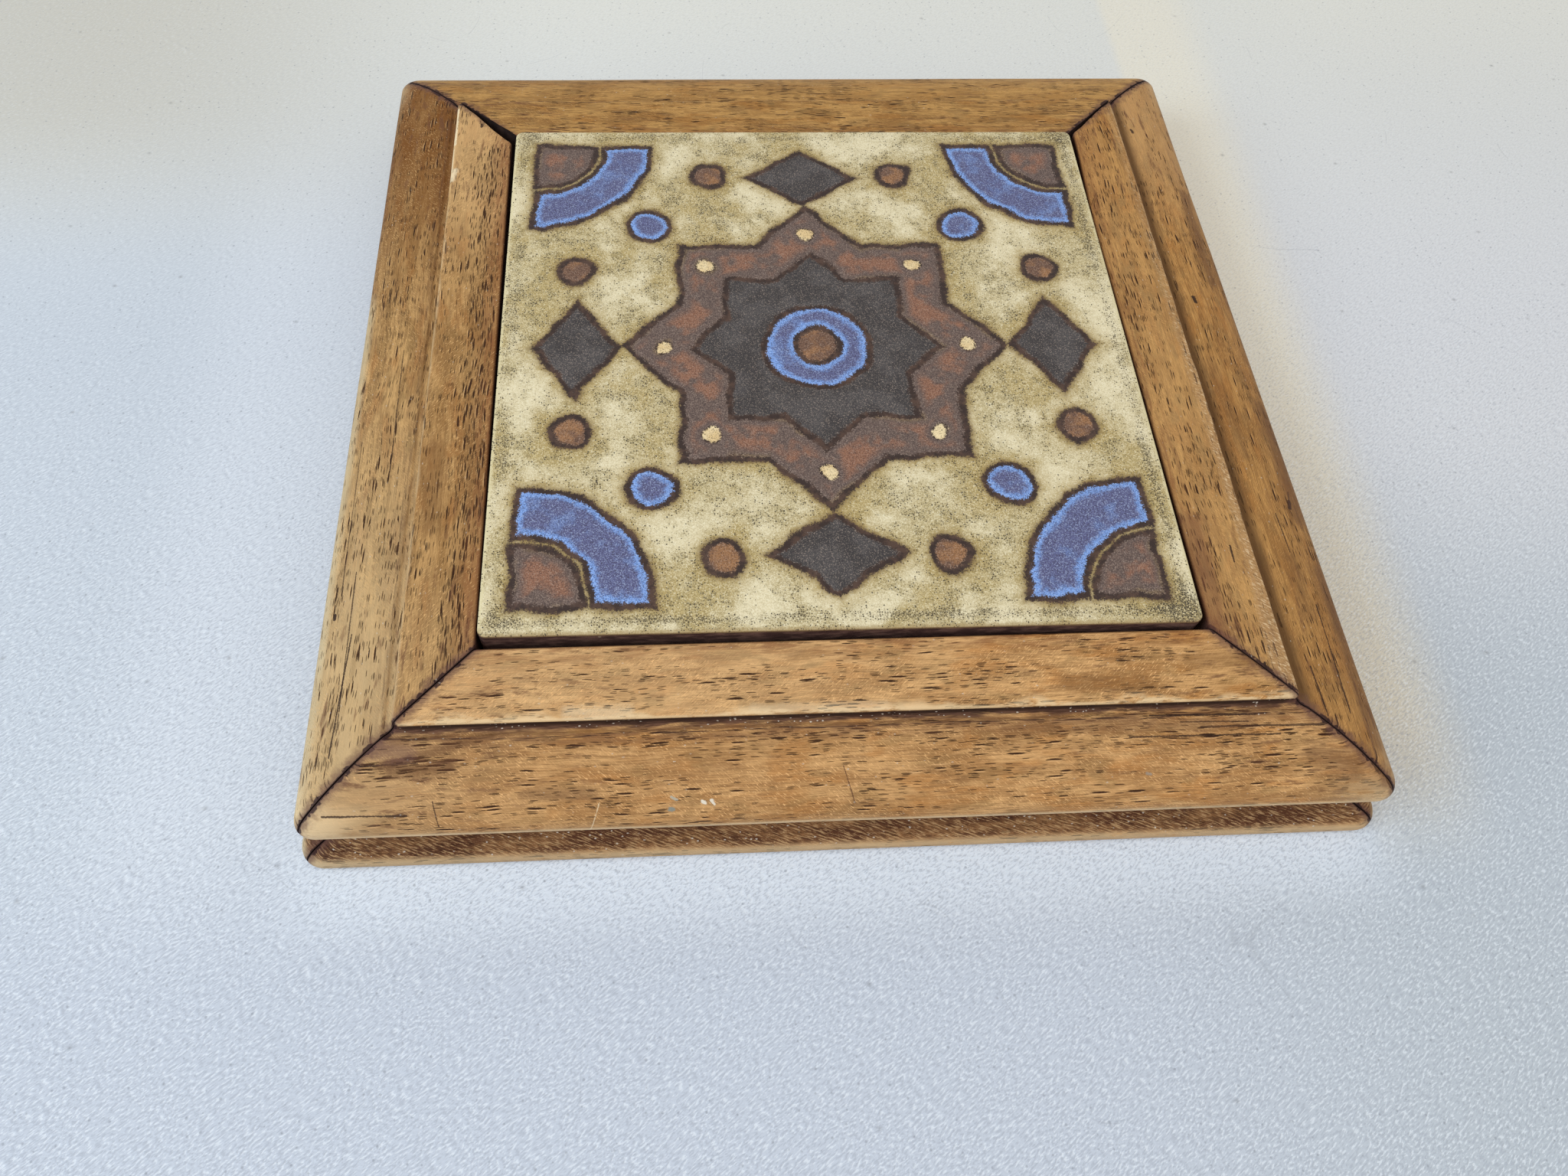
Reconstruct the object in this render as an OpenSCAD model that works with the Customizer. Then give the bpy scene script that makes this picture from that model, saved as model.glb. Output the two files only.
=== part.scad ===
// Tile trivet: a glazed ceramic tile, bedded on a plywood board
// inside a mitred frame of moulded hardwood.
// The table is z = 0, the middle of the trivet is the origin and +Y is its back.

/* [Tile] */
// Side of the square tile
tile_w = 150; // [120:1:200]
// Thickness of the fired clay body
tile_body_t = 8.2; // [6:0.1:12]
// Thickness of the pale glaze coat on top
glaze_t = 0.6; // [0.4:0.1:1.2]
// Rounding of the tile's corners, seen from above
tile_corner_r = 1.8; // [1:0.1:4]
// Rounding of the glaze over the tile's top edge
glaze_edge_r = 0.4; // [0.2:0.1:0.4]
// Turn of the tile in its frame, in degrees, as it was bedded
tile_turn = -0.35; // [-0.35:0.05:0.35]
// How far the tile was bedded off centre, to the right
tile_shift_x = -0.1; // [-0.3:0.05:0.3]
// How far the tile was bedded off centre, to the back
tile_shift_y = 0.3; // [-0.3:0.05:0.3]

/* [Tile back] */
// Grooves that key the tile to its adhesive
key_count = 9; // [3:1:11]
// Width of one keying groove
key_w = 6; // [3:0.5:8]
// Depth of one keying groove
key_depth = 1; // [0.5:0.1:2]
// How far the adhesive is squeezed up into a groove
key_fill = 0.5; // [0.2:0.1:0.5]
// Air beside the adhesive in a groove
key_air = 0.6; // [0.2:0.1:1]

/* [Glaze ornament] */
// Height of the coloured glazes above the pale ground
pool_h = 0.15; // [0.1:0.05:0.4]
// Width of the dark resist line between two colours
line_w = 1.6; // [1:0.1:2]
// Bare ground left along the tile's edge
ornament_margin = 7; // [5:0.5:9]

/* [Build-up] */
// Height of the rails' ledge, which carries the board
ledge_h = 12.4; // [11:0.1:16]
// Thickness of the plywood board under the tile
board_t = 6; // [4:0.5:8]
// Thickness of the adhesive bed
bed_t = 1.2; // [0.6:0.1:2]
// Bare board round the adhesive bed
bed_margin = 6; // [3:0.5:10]
// Clearance round the board
board_gap = 0.4; // [0.2:0.1:0.6]

/* [Rail moulding] */
// Clearance between the tile's edge and the rails
tile_gap = 1; // [0.9:0.1:2]
// Width of the ledge inside the lip
ledge_w = 7.2; // [6:0.1:10]
// Width of the raised inner band
band_w = 15.7; // [12:0.1:22]
// How far the lip lies below the tile's glaze
lip_drop = 1.7; // [1:0.1:3]
// Fall of the inner band from its lip to its outer edge
band_fall = 0.8; // [0.2:0.1:1.5]
// Height of the step down to the outer band
step_h = 2.2; // [1.5:0.1:3]
// Rounding of the inner band's two edges
edge_r = 0.7; // [0.4:0.1:1]
// Radius of the shallow hollow at the foot of the step
quirk_r = 1.1; // [0.8:0.1:1.4]
// Depth of that hollow
quirk_depth = 0.35; // [0.2:0.05:0.5]
// Width of the crowned outer band, from the step to the nose
slope_w = 18.9; // [17:0.1:22]
// Distance from the step to the top of the crown
crown_lead = 2.2; // [1.5:0.1:4]
// Radius of the crown
crown_r = 28; // [26:1:36]
// Radius of the rounded nose
nose_r = 4.9; // [4:0.1:6]
// How far the foot stands out past the nose
foot_reach = 2; // [1:0.1:3]
// Radius of the half-round foot
foot_r = 2.4; // [2:0.1:2.6]
// Radius of the cove between the foot and the nose
cove_r = 4.3; // [3.8:0.1:4.6]

/* [Corners] */
// Worn rounding of the foot's corners, seen from above
foot_corner_r = 5; // [2:0.5:8]
// Worn rounding of the nose's corners
nose_corner_r = 4; // [2:0.5:8]
// Worn rounding of the step's corners
step_corner_r = 1.8; // [1:0.1:3]
// Glue line between two mitred rails
mitre_gap = 0.3; // [0.1:0.1:0.6]
// How far the back left mitre has opened beside the tile
open_back_left = 2.3; // [0.2:0.1:2.5]
// How far the back right mitre has opened beside the tile
open_back_right = 0.9; // [0.2:0.1:2]
// How much of the right rail's lip is worn away at its back end
lip_wear_w = 1.2; // [0.2:0.1:2]
// How far that wear runs along the lip
lip_wear_run = 36; // [10:1:60]
// Rounding of the right rail's band edge, worn wider than the others
worn_edge_r = 1.6; // [0.7:0.1:2]

/* [Fastenings] */
// Length of each leg of a mitre nail
nail_leg = 5; // [3:0.5:7]
// Thickness of a mitre nail's steel strip
nail_t = 0.5; // [0.4:0.1:0.8]
// Height of a mitre nail
nail_h = 9.5; // [6:0.5:10]
// How deep a mitre nail is driven past the rail's underside
nail_set = 0.5; // [0.2:0.1:1]
// Distance from the ledge's edge to the inner mitre nail
nail_start = 10; // [8:0.5:12]
// Distance between the two mitre nails of a corner
nail_pitch = 14; // [12:0.5:16]
// Diameter of a panel pin
pin_d = 1.3; // [1:0.1:1.6]
// Diameter of a panel pin's head
pin_head_d = 2.6; // [2.2:0.1:3]
// Thickness of a panel pin's head
pin_head_t = 0.6; // [0.4:0.1:1]
// Length of a panel pin under its head
pin_len = 13; // [10:0.5:14]
// Distance of a panel pin from the middle of its rail
pin_offset = 45; // [30:1:50]
// Clearance round each nail and pin
fit_gap = 0.05; // [0.02:0.01:0.1]

/* [Hidden] */
$fn = 96;

front_wood = [0.64, 0.43, 0.24];
right_wood = [0.62, 0.42, 0.23];
back_wood = [0.58, 0.38, 0.20];
left_wood = [0.54, 0.37, 0.20];
ply_colour = [0.70, 0.56, 0.38];
steel_colour = [0.55, 0.55, 0.56];
mastic_colour = [0.80, 0.77, 0.68];
clay_colour = [0.20, 0.13, 0.10];
cream_glaze = [0.80, 0.78, 0.65];
brown_glaze = [0.34, 0.22, 0.19];
rust_glaze = [0.50, 0.26, 0.13];
charcoal_glaze = [0.19, 0.17, 0.20];
blue_glaze = [0.34, 0.43, 0.64];

// Places across a rail, measured outwards from the trivet's middle
inner_half = tile_w / 2 + tile_gap;
ledge_half = inner_half - ledge_w;
step_half = inner_half + band_w;
nose_half = step_half + slope_w;
foot_half = nose_half + foot_reach;

// Heights above the table
board_top = ledge_h + board_t;
bed_top = board_top + bed_t;
body_top = bed_top + tile_body_t;
tile_top = body_top + glaze_t;
lip_z = tile_top - lip_drop;
band_edge_z = lip_z - band_fall;
crown_z = band_edge_z - step_h;

// The crown's and the nose's centres: the nose touches the crown from inside
crown_s = step_half + crown_lead;
crown_base = crown_z - crown_r;
nose_s = nose_half - nose_r;
nose_z = crown_base + sqrt(pow(crown_r - nose_r, 2) - pow(nose_s - crown_s, 2));
touch_s = crown_s + (nose_s - crown_s) * crown_r / (crown_r - nose_r);

// The cove rests on the foot's top and undercuts the nose
cove_s = foot_half - foot_r;
cove_z = 2 * foot_r + cove_r;

// Overrun of every cut
over = edge_r;

// Places of the ornament, as shares of half the tile's width
star_share = 0.43;
inner_star_share = 0.28;
eye_share = 0.165;
pupil_share = 0.07;
spot_place_share = 0.485;
spot_share = 0.024;
lozenge_place_share = 0.76;
lozenge_long_share = 0.165;
lozenge_short_share = 0.115;
berry_place_share = 0.53;
berry_share = 0.058;
side_berry_out_share = 0.77;
side_berry_along_share = 0.325;
side_berry_share = 0.045;
fan_share = 0.18;
fan_ring_in_share = 0.23;
fan_ring_out_share = 0.37;

tile_half = tile_w / 2;
field_half = tile_half - ornament_margin;
half_line = line_w / 2;

// A square with round corners, drawn from its middle
module worn_square(half, r) {
    square([2 * half, 2 * (half - r)], center = true);
    square([2 * (half - r), 2 * half], center = true);
    for (sx = [-1, 1], sy = [-1, 1])
        translate([sx * (half - r), sy * (half - r)])
            circle(r = r);
}

// The raised inner band: one sloping face that touches two rounded edges
module band_section(outer_r) {
    inner = [inner_half + edge_r, lip_z - edge_r];
    outer = [step_half - outer_r, band_edge_z - outer_r];
    run = outer - inner;
    lean = asin((edge_r - outer_r) / norm(run)) - atan2(run[1], run[0]);
    rise = [sin(lean), cos(lean)];
    polygon([
        [inner_half, ledge_h],
        [step_half, ledge_h],
        [step_half, outer[1]],
        outer + outer_r * rise,
        inner + edge_r * rise,
        [inner_half, inner[1]]
    ]);
    translate(inner)
        circle(r = edge_r);
    translate(outer)
        circle(r = outer_r);
}

// The crowned outer band and the round nose
module crown_section() {
    intersection() {
        translate([crown_s, crown_base])
            circle(r = crown_r, $fn = 4 * $fn);
        translate([inner_half, 0])
            square([touch_s - inner_half, tile_top]);
    }
    translate([nose_s, nose_z])
        circle(r = nose_r);
}

// The ledge under the board and the half-round foot
module foot_section() {
    translate([ledge_half, 0])
        square([nose_s - ledge_half, ledge_h]);
    translate([ledge_half, 0])
        square([cove_s - ledge_half, 2 * foot_r]);
    translate([cove_s, foot_r])
        circle(r = foot_r);
}

// The moulding, with x measured outwards and y upwards
module rail_section(outer_r) {
    difference() {
        union() {
            foot_section();
            crown_section();
            band_section(outer_r);
        }
        translate([cove_s, cove_z])
            circle(r = cove_r);
        translate([step_half + quirk_r, crown_z + quirk_r - quirk_depth])
            circle(r = quirk_r);
    }
}

// The worn outline of the whole frame, wider at the foot than at the step
module worn_outline() {
    translate([0, 0, -over])
        linear_extrude(cove_z + over)
            worn_square(foot_half, foot_corner_r);
    translate([0, 0, cove_z - over])
        linear_extrude(crown_z - cove_z + over)
            worn_square(nose_half, nose_corner_r);
    translate([0, 0, crown_z - over])
        linear_extrude(tile_top - crown_z + over)
            worn_square(step_half, step_corner_r);
}

// The wedge between two mitre cuts that one rail fills
module mitre_wedge() {
    tip = mitre_gap / sqrt(2);
    translate([0, 0, -over])
        linear_extrude(tile_top + 2 * over)
            polygon([
                [tip, 0],
                [tip + 2 * foot_half, -2 * foot_half],
                [tip + 2 * foot_half, 2 * foot_half]
            ]);
}

// The sliver missing from a mitre that has opened beside the tile
module mitre_opening(open) {
    run = band_w + ledge_w;
    spread = open * run / band_w / sqrt(2);
    translate([0, 0, ledge_h])
        linear_extrude(tile_top)
            polygon([
                [step_half, step_half],
                [step_half - run, step_half - run],
                [step_half - run + spread, step_half - run - spread]
            ]);
}

// The sliver worn off a lip, widest at the mitre
module lip_wear() {
    translate([0, 0, ledge_h])
        linear_extrude(tile_top)
            polygon([
                [inner_half - over, inner_half - lip_wear_run],
                [inner_half, inner_half - lip_wear_run],
                [inner_half + lip_wear_w, inner_half + lip_wear_w],
                [inner_half - over, inner_half + lip_wear_w]
            ]);
}

// One mitre nail: a bent steel strip whose legs hold both rails
module mitre_nail(out, grow) {
    bottom = grow > 0 ? -over : nail_set;
    top = nail_set + nail_h + grow;
    for (turned = [0, 1])
        mirror([turned, -turned, 0])
            translate([out - nail_t / 2 - grow, out - nail_t / 2 - grow, bottom])
                cube([nail_leg + nail_t + 2 * grow, nail_t + 2 * grow, top - bottom]);
}

// The two nails of one corner
module corner_nails(grow) {
    for (i = [0, 1])
        mitre_nail(ledge_half + nail_start + i * nail_pitch, grow);
}

// One panel pin, driven down through the board into the ledge
module panel_pin(grow) {
    translate([(ledge_half + inner_half) / 2, 0, 0]) {
        translate([0, 0, board_top - pin_head_t - pin_len])
            cylinder(d = pin_d + 2 * grow, h = pin_len + pin_head_t / 2);
        translate([0, 0, board_top - pin_head_t])
            cylinder(d = pin_head_d + 2 * grow, h = pin_head_t + grow);
    }
}

// The two pins that hold the board to one rail
module rail_pins(grow) {
    for (side = [-1, 1])
        translate([0, side * pin_offset, 0])
            panel_pin(grow);
}

// A rail lying along the right side of the trivet
module rail(open_far, open_near, outer_r) {
    difference() {
        intersection() {
            translate([0, foot_half, 0])
                rotate([90, 0, 0])
                    linear_extrude(2 * foot_half)
                        rail_section(outer_r);
            mitre_wedge();
            worn_outline();
        }
        if (open_far > 0) {
            mitre_opening(open_far);
            lip_wear();
        }
        if (open_near > 0)
            mirror([0, 1, 0])
                mitre_opening(open_near);
        corner_nails(fit_gap);
        mirror([0, 1, 0])
            corner_nails(fit_gap);
        rail_pins(fit_gap);
    }
}

module front_rail() {
    color(front_wood)
        rotate([0, 0, -90])
            rail(0, 0, edge_r);
}

module right_rail() {
    color(right_wood)
        rail(open_back_right, 0, worn_edge_r);
}

module back_rail() {
    color(back_wood)
        rotate([0, 0, 90])
            rail(0, 0, edge_r);
}

module left_rail() {
    color(left_wood)
        rotate([0, 0, 180])
            rail(0, open_back_left, edge_r);
}

// Two bent nails under each mitre
module mitre_nails() {
    color(steel_colour)
        for (quarter = [0 : 3])
            rotate([0, 0, 90 * quarter])
                corner_nails(0);
}

// The plywood board, dropped in from above onto the rails' ledge
module backing_board() {
    half = inner_half - board_gap;
    color(ply_colour)
        difference() {
            translate([-half, -half, ledge_h])
                cube([2 * half, 2 * half, board_t]);
            for (quarter = [0 : 3])
                rotate([0, 0, 90 * quarter])
                    rail_pins(fit_gap);
        }
}

module panel_pins() {
    color(steel_colour)
        for (quarter = [0 : 3])
            rotate([0, 0, 90 * quarter])
                rail_pins(0);
}

// Puts a piece of the tile where it was bedded in the frame
module bedded() {
    translate([tile_shift_x, tile_shift_y, 0])
        rotate([0, 0, tile_turn])
            children();
}

// One bar along X in the place of each keying groove
module key_bars(width, z, h, length) {
    pitch = 2 * (tile_half - bed_margin) / key_count;
    for (i = [0 : key_count - 1])
        translate([-length / 2, (i - (key_count - 1) / 2) * pitch - width / 2, z])
            cube([length, width, h]);
}

// The bed of adhesive, squeezed a little way into the tile's grooves
module tile_adhesive() {
    half = tile_half - bed_margin;
    color(mastic_colour)
        bedded() {
            translate([0, 0, board_top])
                linear_extrude(bed_t)
                    worn_square(half, bed_margin);
            key_bars(key_w - 2 * key_air, bed_top - over, key_fill + over, 2 * (half - bed_margin));
        }
}

// The clay body, dark on its sides and grooved underneath
module tile_body() {
    color(clay_colour)
        bedded()
            difference() {
                translate([0, 0, bed_top])
                    linear_extrude(tile_body_t)
                        worn_square(tile_half, tile_corner_r);
                key_bars(key_w, bed_top - over, key_depth + over, tile_w + over);
            }
}

// Section of the glaze at the tile's edge, from an inner line at x = 0 outwards
module glaze_edge_section(reach) {
    square([reach - glaze_edge_r, glaze_t]);
    intersection() {
        square([reach, glaze_t]);
        union() {
            square([reach, glaze_t - glaze_edge_r]);
            translate([reach - glaze_edge_r, glaze_t - glaze_edge_r])
                circle(r = glaze_edge_r, $fn = 48);
        }
    }
}

// The pale ground coat, rounded over the tile's edge
module tile_glaze() {
    straight = tile_half - tile_corner_r;
    color(cream_glaze)
        bedded()
            translate([0, 0, body_top]) {
                linear_extrude(glaze_t)
                    square(2 * straight, center = true);
                for (quarter = [0 : 3])
                    rotate([0, 0, 90 * quarter]) {
                        translate([straight, straight, 0])
                            rotate([90, 0, 0])
                                linear_extrude(2 * straight)
                                    glaze_edge_section(tile_corner_r);
                        translate([straight, straight, 0])
                            rotate_extrude(angle = 90)
                                glaze_edge_section(tile_corner_r);
                    }
            }
}

// Two crossed squares: an eight-pointed star, drawn from its middle
module star(half) {
    for (turn = [0, 45])
        rotate(turn)
            square(2 * half, center = true);
}

// A lozenge, drawn from its middle
module lozenge(long, short) {
    polygon([[long, 0], [0, short], [-long, 0], [0, -short]]);
}

// One colour of glaze, standing proud of the pale ground
module pool(colour) {
    color(colour)
        translate([0, 0, tile_top])
            linear_extrude(pool_h)
                children();
}

// The brown star, its charcoal heart and its blue eye
module star_pools() {
    pool(brown_glaze)
        difference() {
            star(star_share * tile_half - half_line);
            star(inner_star_share * tile_half + half_line);
            for (i = [0 : 7])
                rotate(45 * i)
                    translate([spot_place_share * tile_half, 0])
                        circle(r = spot_share * tile_half + half_line / 2);
        }
    pool(charcoal_glaze)
        difference() {
            star(inner_star_share * tile_half - half_line);
            circle(r = eye_share * tile_half + half_line);
        }
    pool(blue_glaze)
        difference() {
            circle(r = eye_share * tile_half - half_line);
            circle(r = pupil_share * tile_half + half_line);
        }
    pool(rust_glaze)
        circle(r = pupil_share * tile_half - half_line);
    pool(cream_glaze)
        for (i = [0 : 7])
            rotate(45 * i)
                translate([spot_place_share * tile_half, 0])
                    circle(r = spot_share * tile_half);
}

// What lies between the star and one side of the tile
module side_pools() {
    pool(charcoal_glaze)
        translate([lozenge_place_share * tile_half, 0])
            lozenge(lozenge_short_share * tile_half, lozenge_long_share * tile_half);
    pool(blue_glaze)
        rotate(45)
            translate([berry_place_share * tile_half * sqrt(2), 0])
                circle(r = berry_share * tile_half);
    pool(rust_glaze)
        for (side = [-1, 1])
            translate([side_berry_out_share * tile_half, side * side_berry_along_share * tile_half])
                circle(r = side_berry_share * tile_half);
}

// The quarter fan in one corner of the tile
module fan_pools() {
    pool(blue_glaze)
        intersection() {
            difference() {
                translate([field_half, field_half])
                    circle(r = fan_ring_out_share * tile_half);
                translate([field_half, field_half])
                    circle(r = fan_ring_in_share * tile_half);
            }
            square(field_half);
        }
    pool(brown_glaze)
        intersection() {
            translate([field_half, field_half])
                circle(r = fan_share * tile_half);
            square(field_half);
        }
}

module glaze_ornament() {
    bedded() {
        star_pools();
        for (quarter = [0 : 3])
            rotate([0, 0, 90 * quarter]) {
                side_pools();
                fan_pools();
            }
    }
}

front_rail();
right_rail();
back_rail();
left_rail();
mitre_nails();
backing_board();
panel_pins();
tile_adhesive();
tile_body();
tile_glaze();
glaze_ornament();
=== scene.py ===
# %% [markdown]
# # A tiled trivet
#
# A glazed tile lies in a mitred frame of moulded, open-pored hardwood, and the whole stands on a table.
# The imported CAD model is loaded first. It settles every size and place, so nothing here is fitted by eye.
# What Blender adds is the wear of the wood, the painted glazes, the light and the camera.

# %% Load the CAD frame
import math
from functools import partialmethod

import bmesh
import bpy
import numpy as np
from bmesh.types import BMEdge, BMVert
from mathutils import Matrix, Vector, noise


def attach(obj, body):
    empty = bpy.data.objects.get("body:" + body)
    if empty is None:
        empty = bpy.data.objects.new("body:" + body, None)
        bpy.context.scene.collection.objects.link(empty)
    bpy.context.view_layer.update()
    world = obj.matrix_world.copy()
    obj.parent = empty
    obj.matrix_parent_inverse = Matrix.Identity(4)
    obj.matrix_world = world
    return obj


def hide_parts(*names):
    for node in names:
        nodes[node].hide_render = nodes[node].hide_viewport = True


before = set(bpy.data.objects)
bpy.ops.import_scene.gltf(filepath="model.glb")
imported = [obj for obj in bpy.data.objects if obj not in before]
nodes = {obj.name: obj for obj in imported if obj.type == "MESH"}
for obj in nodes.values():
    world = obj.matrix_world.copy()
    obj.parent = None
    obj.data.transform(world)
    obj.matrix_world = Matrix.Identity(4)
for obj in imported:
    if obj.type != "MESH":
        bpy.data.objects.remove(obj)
scene = bpy.context.scene
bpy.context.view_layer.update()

# %% [markdown]
# ## Camera
#
# The real camera was a telephone held above the front edge, with a short lens.
# Its place was solved from the frame's straight edges and mitres, so it is written as a point,
# three angles and a focal length in picture widths. A small lens shift stands for the cropped picture.

# %% Camera
MM = 0.001
SENSOR_WIDTH = 36
PICTURE_WIDTH, FOCAL_LENGTH, LENS_SHIFT = 2048, 1505.13, (68.8, -51.4)
CAMERA_PLACE, CAMERA_ANGLES = (-35.63, -178.84, 238.93), (5.754, 59.422, 3.601)

camera_data = bpy.data.cameras.new("camera")
camera_data.sensor_width = SENSOR_WIDTH
camera_data.lens = SENSOR_WIDTH * FOCAL_LENGTH / PICTURE_WIDTH
camera_data.shift_x, camera_data.shift_y = (shift / PICTURE_WIDTH for shift in LENS_SHIFT)
camera_data.clip_start = 0.01
camera_data.clip_end = 30

yaw, pitch, roll = (math.radians(angle) for angle in CAMERA_ANGLES)
ahead = Vector((math.sin(yaw) * math.cos(pitch), math.cos(yaw) * math.cos(pitch), -math.sin(pitch)))
level = Vector((math.cos(yaw), -math.sin(yaw), 0))
above = level.cross(ahead)
right = math.cos(roll) * level + math.sin(roll) * above
up = math.cos(roll) * above - math.sin(roll) * level

camera = bpy.data.objects.new("camera", camera_data)
place = Matrix.Translation(Vector(CAMERA_PLACE) * MM)
camera.matrix_world = place @ Matrix((right, up, -ahead)).transposed().to_4x4()
scene.collection.objects.link(camera)
scene.camera = camera
print("camera:", [round(1000 * c) for c in camera.location], "mm, lens", round(camera_data.lens, 2))

# %% [markdown]
# ## Writing materials as sums
#
# A material is a sum of masks: where the pores are, where the edge is worn, where dirt has settled.
# Such sums could be wired by hand, but they read better as Python: a Wire holds one output of a node, and
# an operator on it adds the Math node.

# %% Wire
class Wire:
    """One output of a node. Operators on it add Math nodes."""

    def __init__(self, paint, socket):
        self.paint, self.socket = paint, socket

    def math(self, operation, *others):
        return self.paint.node("Math", {"operation": operation}, [self, *others])

    def __rsub__(self, other):
        return self.paint.node("Math", {"operation": "SUBTRACT"}, [other, self])

    __add__ = __radd__ = partialmethod(math, "ADD")
    __sub__ = partialmethod(math, "SUBTRACT")
    __mul__ = __rmul__ = partialmethod(math, "MULTIPLY")
    __truediv__ = partialmethod(math, "DIVIDE")
    __abs__ = partialmethod(math, "ABSOLUTE")

    def other(self, name):
        """Another output of the same node."""
        return Wire(self.paint, self.socket.node.outputs[name])

    def rise(self, low, high):
        """0 below low and 1 above high, and the other way round where low is the greater."""
        return self.paint.node("MapRange", {"interpolation_type": "SMOOTHSTEP"}, [self, low, high, 0, 1])

    def near(self, middle, width):
        """1 at middle, falling to 0 at width from it."""
        return abs(self - middle).rise(width, 0)

# %% [markdown]
# ### Paint
#
# Nearly every layer of a real surface is a cloud, a scatter of cells, or a stretch between two places, with
# one colour laid over what is there. Paint has a short word for each, so that a material below reads as a
# list of layers. Noise sizes are in mm: one number, or one each for x, y and z, where z may be left out.

# %% Paint
class Paint:
    """A material, or the world, in the making."""

    def __init__(self, name, tree=None):
        if tree is None:
            self.material = bpy.data.materials.new(name)
            self.material.use_nodes = True
            tree = self.material.node_tree
        self.tree = tree
        self.colour = None

    def fill(self, socket, value):
        if isinstance(value, Wire):
            self.tree.links.new(value.socket, socket)
        else:
            socket.default_value = value

    def node(self, kind, settings=(), values=(), out=0):
        made = self.tree.nodes.new("ShaderNode" + kind)
        for key, value in dict(settings).items():
            setattr(made, key, value)
        for key, value in values.items() if isinstance(values, dict) else enumerate(values):
            self.fill(made.inputs[key], value)
        return Wire(self, made.outputs[out])

    def position(self):
        """The place of a point in mm, as a vector and as three numbers."""
        metres = self.node("TexCoord", out="Object")
        mm = self.node("VectorMath", {"operation": "SCALE"}, {"Vector": metres, "Scale": 1000})
        x = self.node("SeparateXYZ", (), [mm])
        return mm, x, x.other("Y"), x.other("Z")

    def vector(self, x, y, z=0.0):
        return self.node("CombineXYZ", (), [x, y, z])

    def scaled(self, place, size):
        size = (*size, 1)[:3] if isinstance(size, tuple) else (size, size, size)
        return self.node("VectorMath", {"operation": "MULTIPLY"}, [place, tuple(1 / s for s in size)])

    def cloud(self, place, size, detail=2, roughness=0.5):
        """Noise from 0 to 1."""
        values = {"Vector": self.scaled(place, size), "Scale": 1, "Detail": detail, "Roughness": roughness}
        return self.node("TexNoise", (), values)

    def cells(self, place, size, flat=True):
        """Distance from the nearest of scattered points, one to each cell."""
        settings = {"voronoi_dimensions": "2D" if flat else "3D"}
        return self.node("TexVoronoi", settings, {"Vector": self.scaled(place, size), "Scale": 1})

    def lot(self, cells):
        """A random number from 0 to 1 for each of those cells. Its other outputs hold two more."""
        return self.node("SeparateColor", (), [cells.other("Color")])

    def dashes(self, place, size, chance, radius, ragged):
        """Small dark marks, one to a cell, in as many cells as chance says."""
        cells = self.cells(place, size)
        lot = self.lot(cells)
        bound = lot.other("Green") * radius + radius * 0.65
        return (cells + ragged - bound).rise(0.05, -0.05) * (lot - chance).rise(0.02, -0.02)

    def mix(self, factor, first, second):
        first, second = (c if isinstance(c, Wire) else (*c, 1) for c in (first, second))
        return self.node("Mix", {"data_type": "RGBA"}, {0: factor, 6: first, 7: second}, out=2)

    def lay(self, amount, tint):
        """Lays a tint over the colour so far."""
        self.colour = self.mix(amount, self.colour, tint)

    def finish(self, height, **values):
        """Sets the Principled shader: the colour, a normal from a height in mm, and sockets by name."""
        normal = self.node("Bump", (), {"Strength": 1, "Distance": MM, "Height": height})
        shader = self.tree.nodes["Principled BSDF"]
        for key, value in {"Base_Color": self.colour, "Normal": normal, **values}.items():
            self.fill(shader.inputs[key.replace("_", " ")], value)
        return self.material
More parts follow.
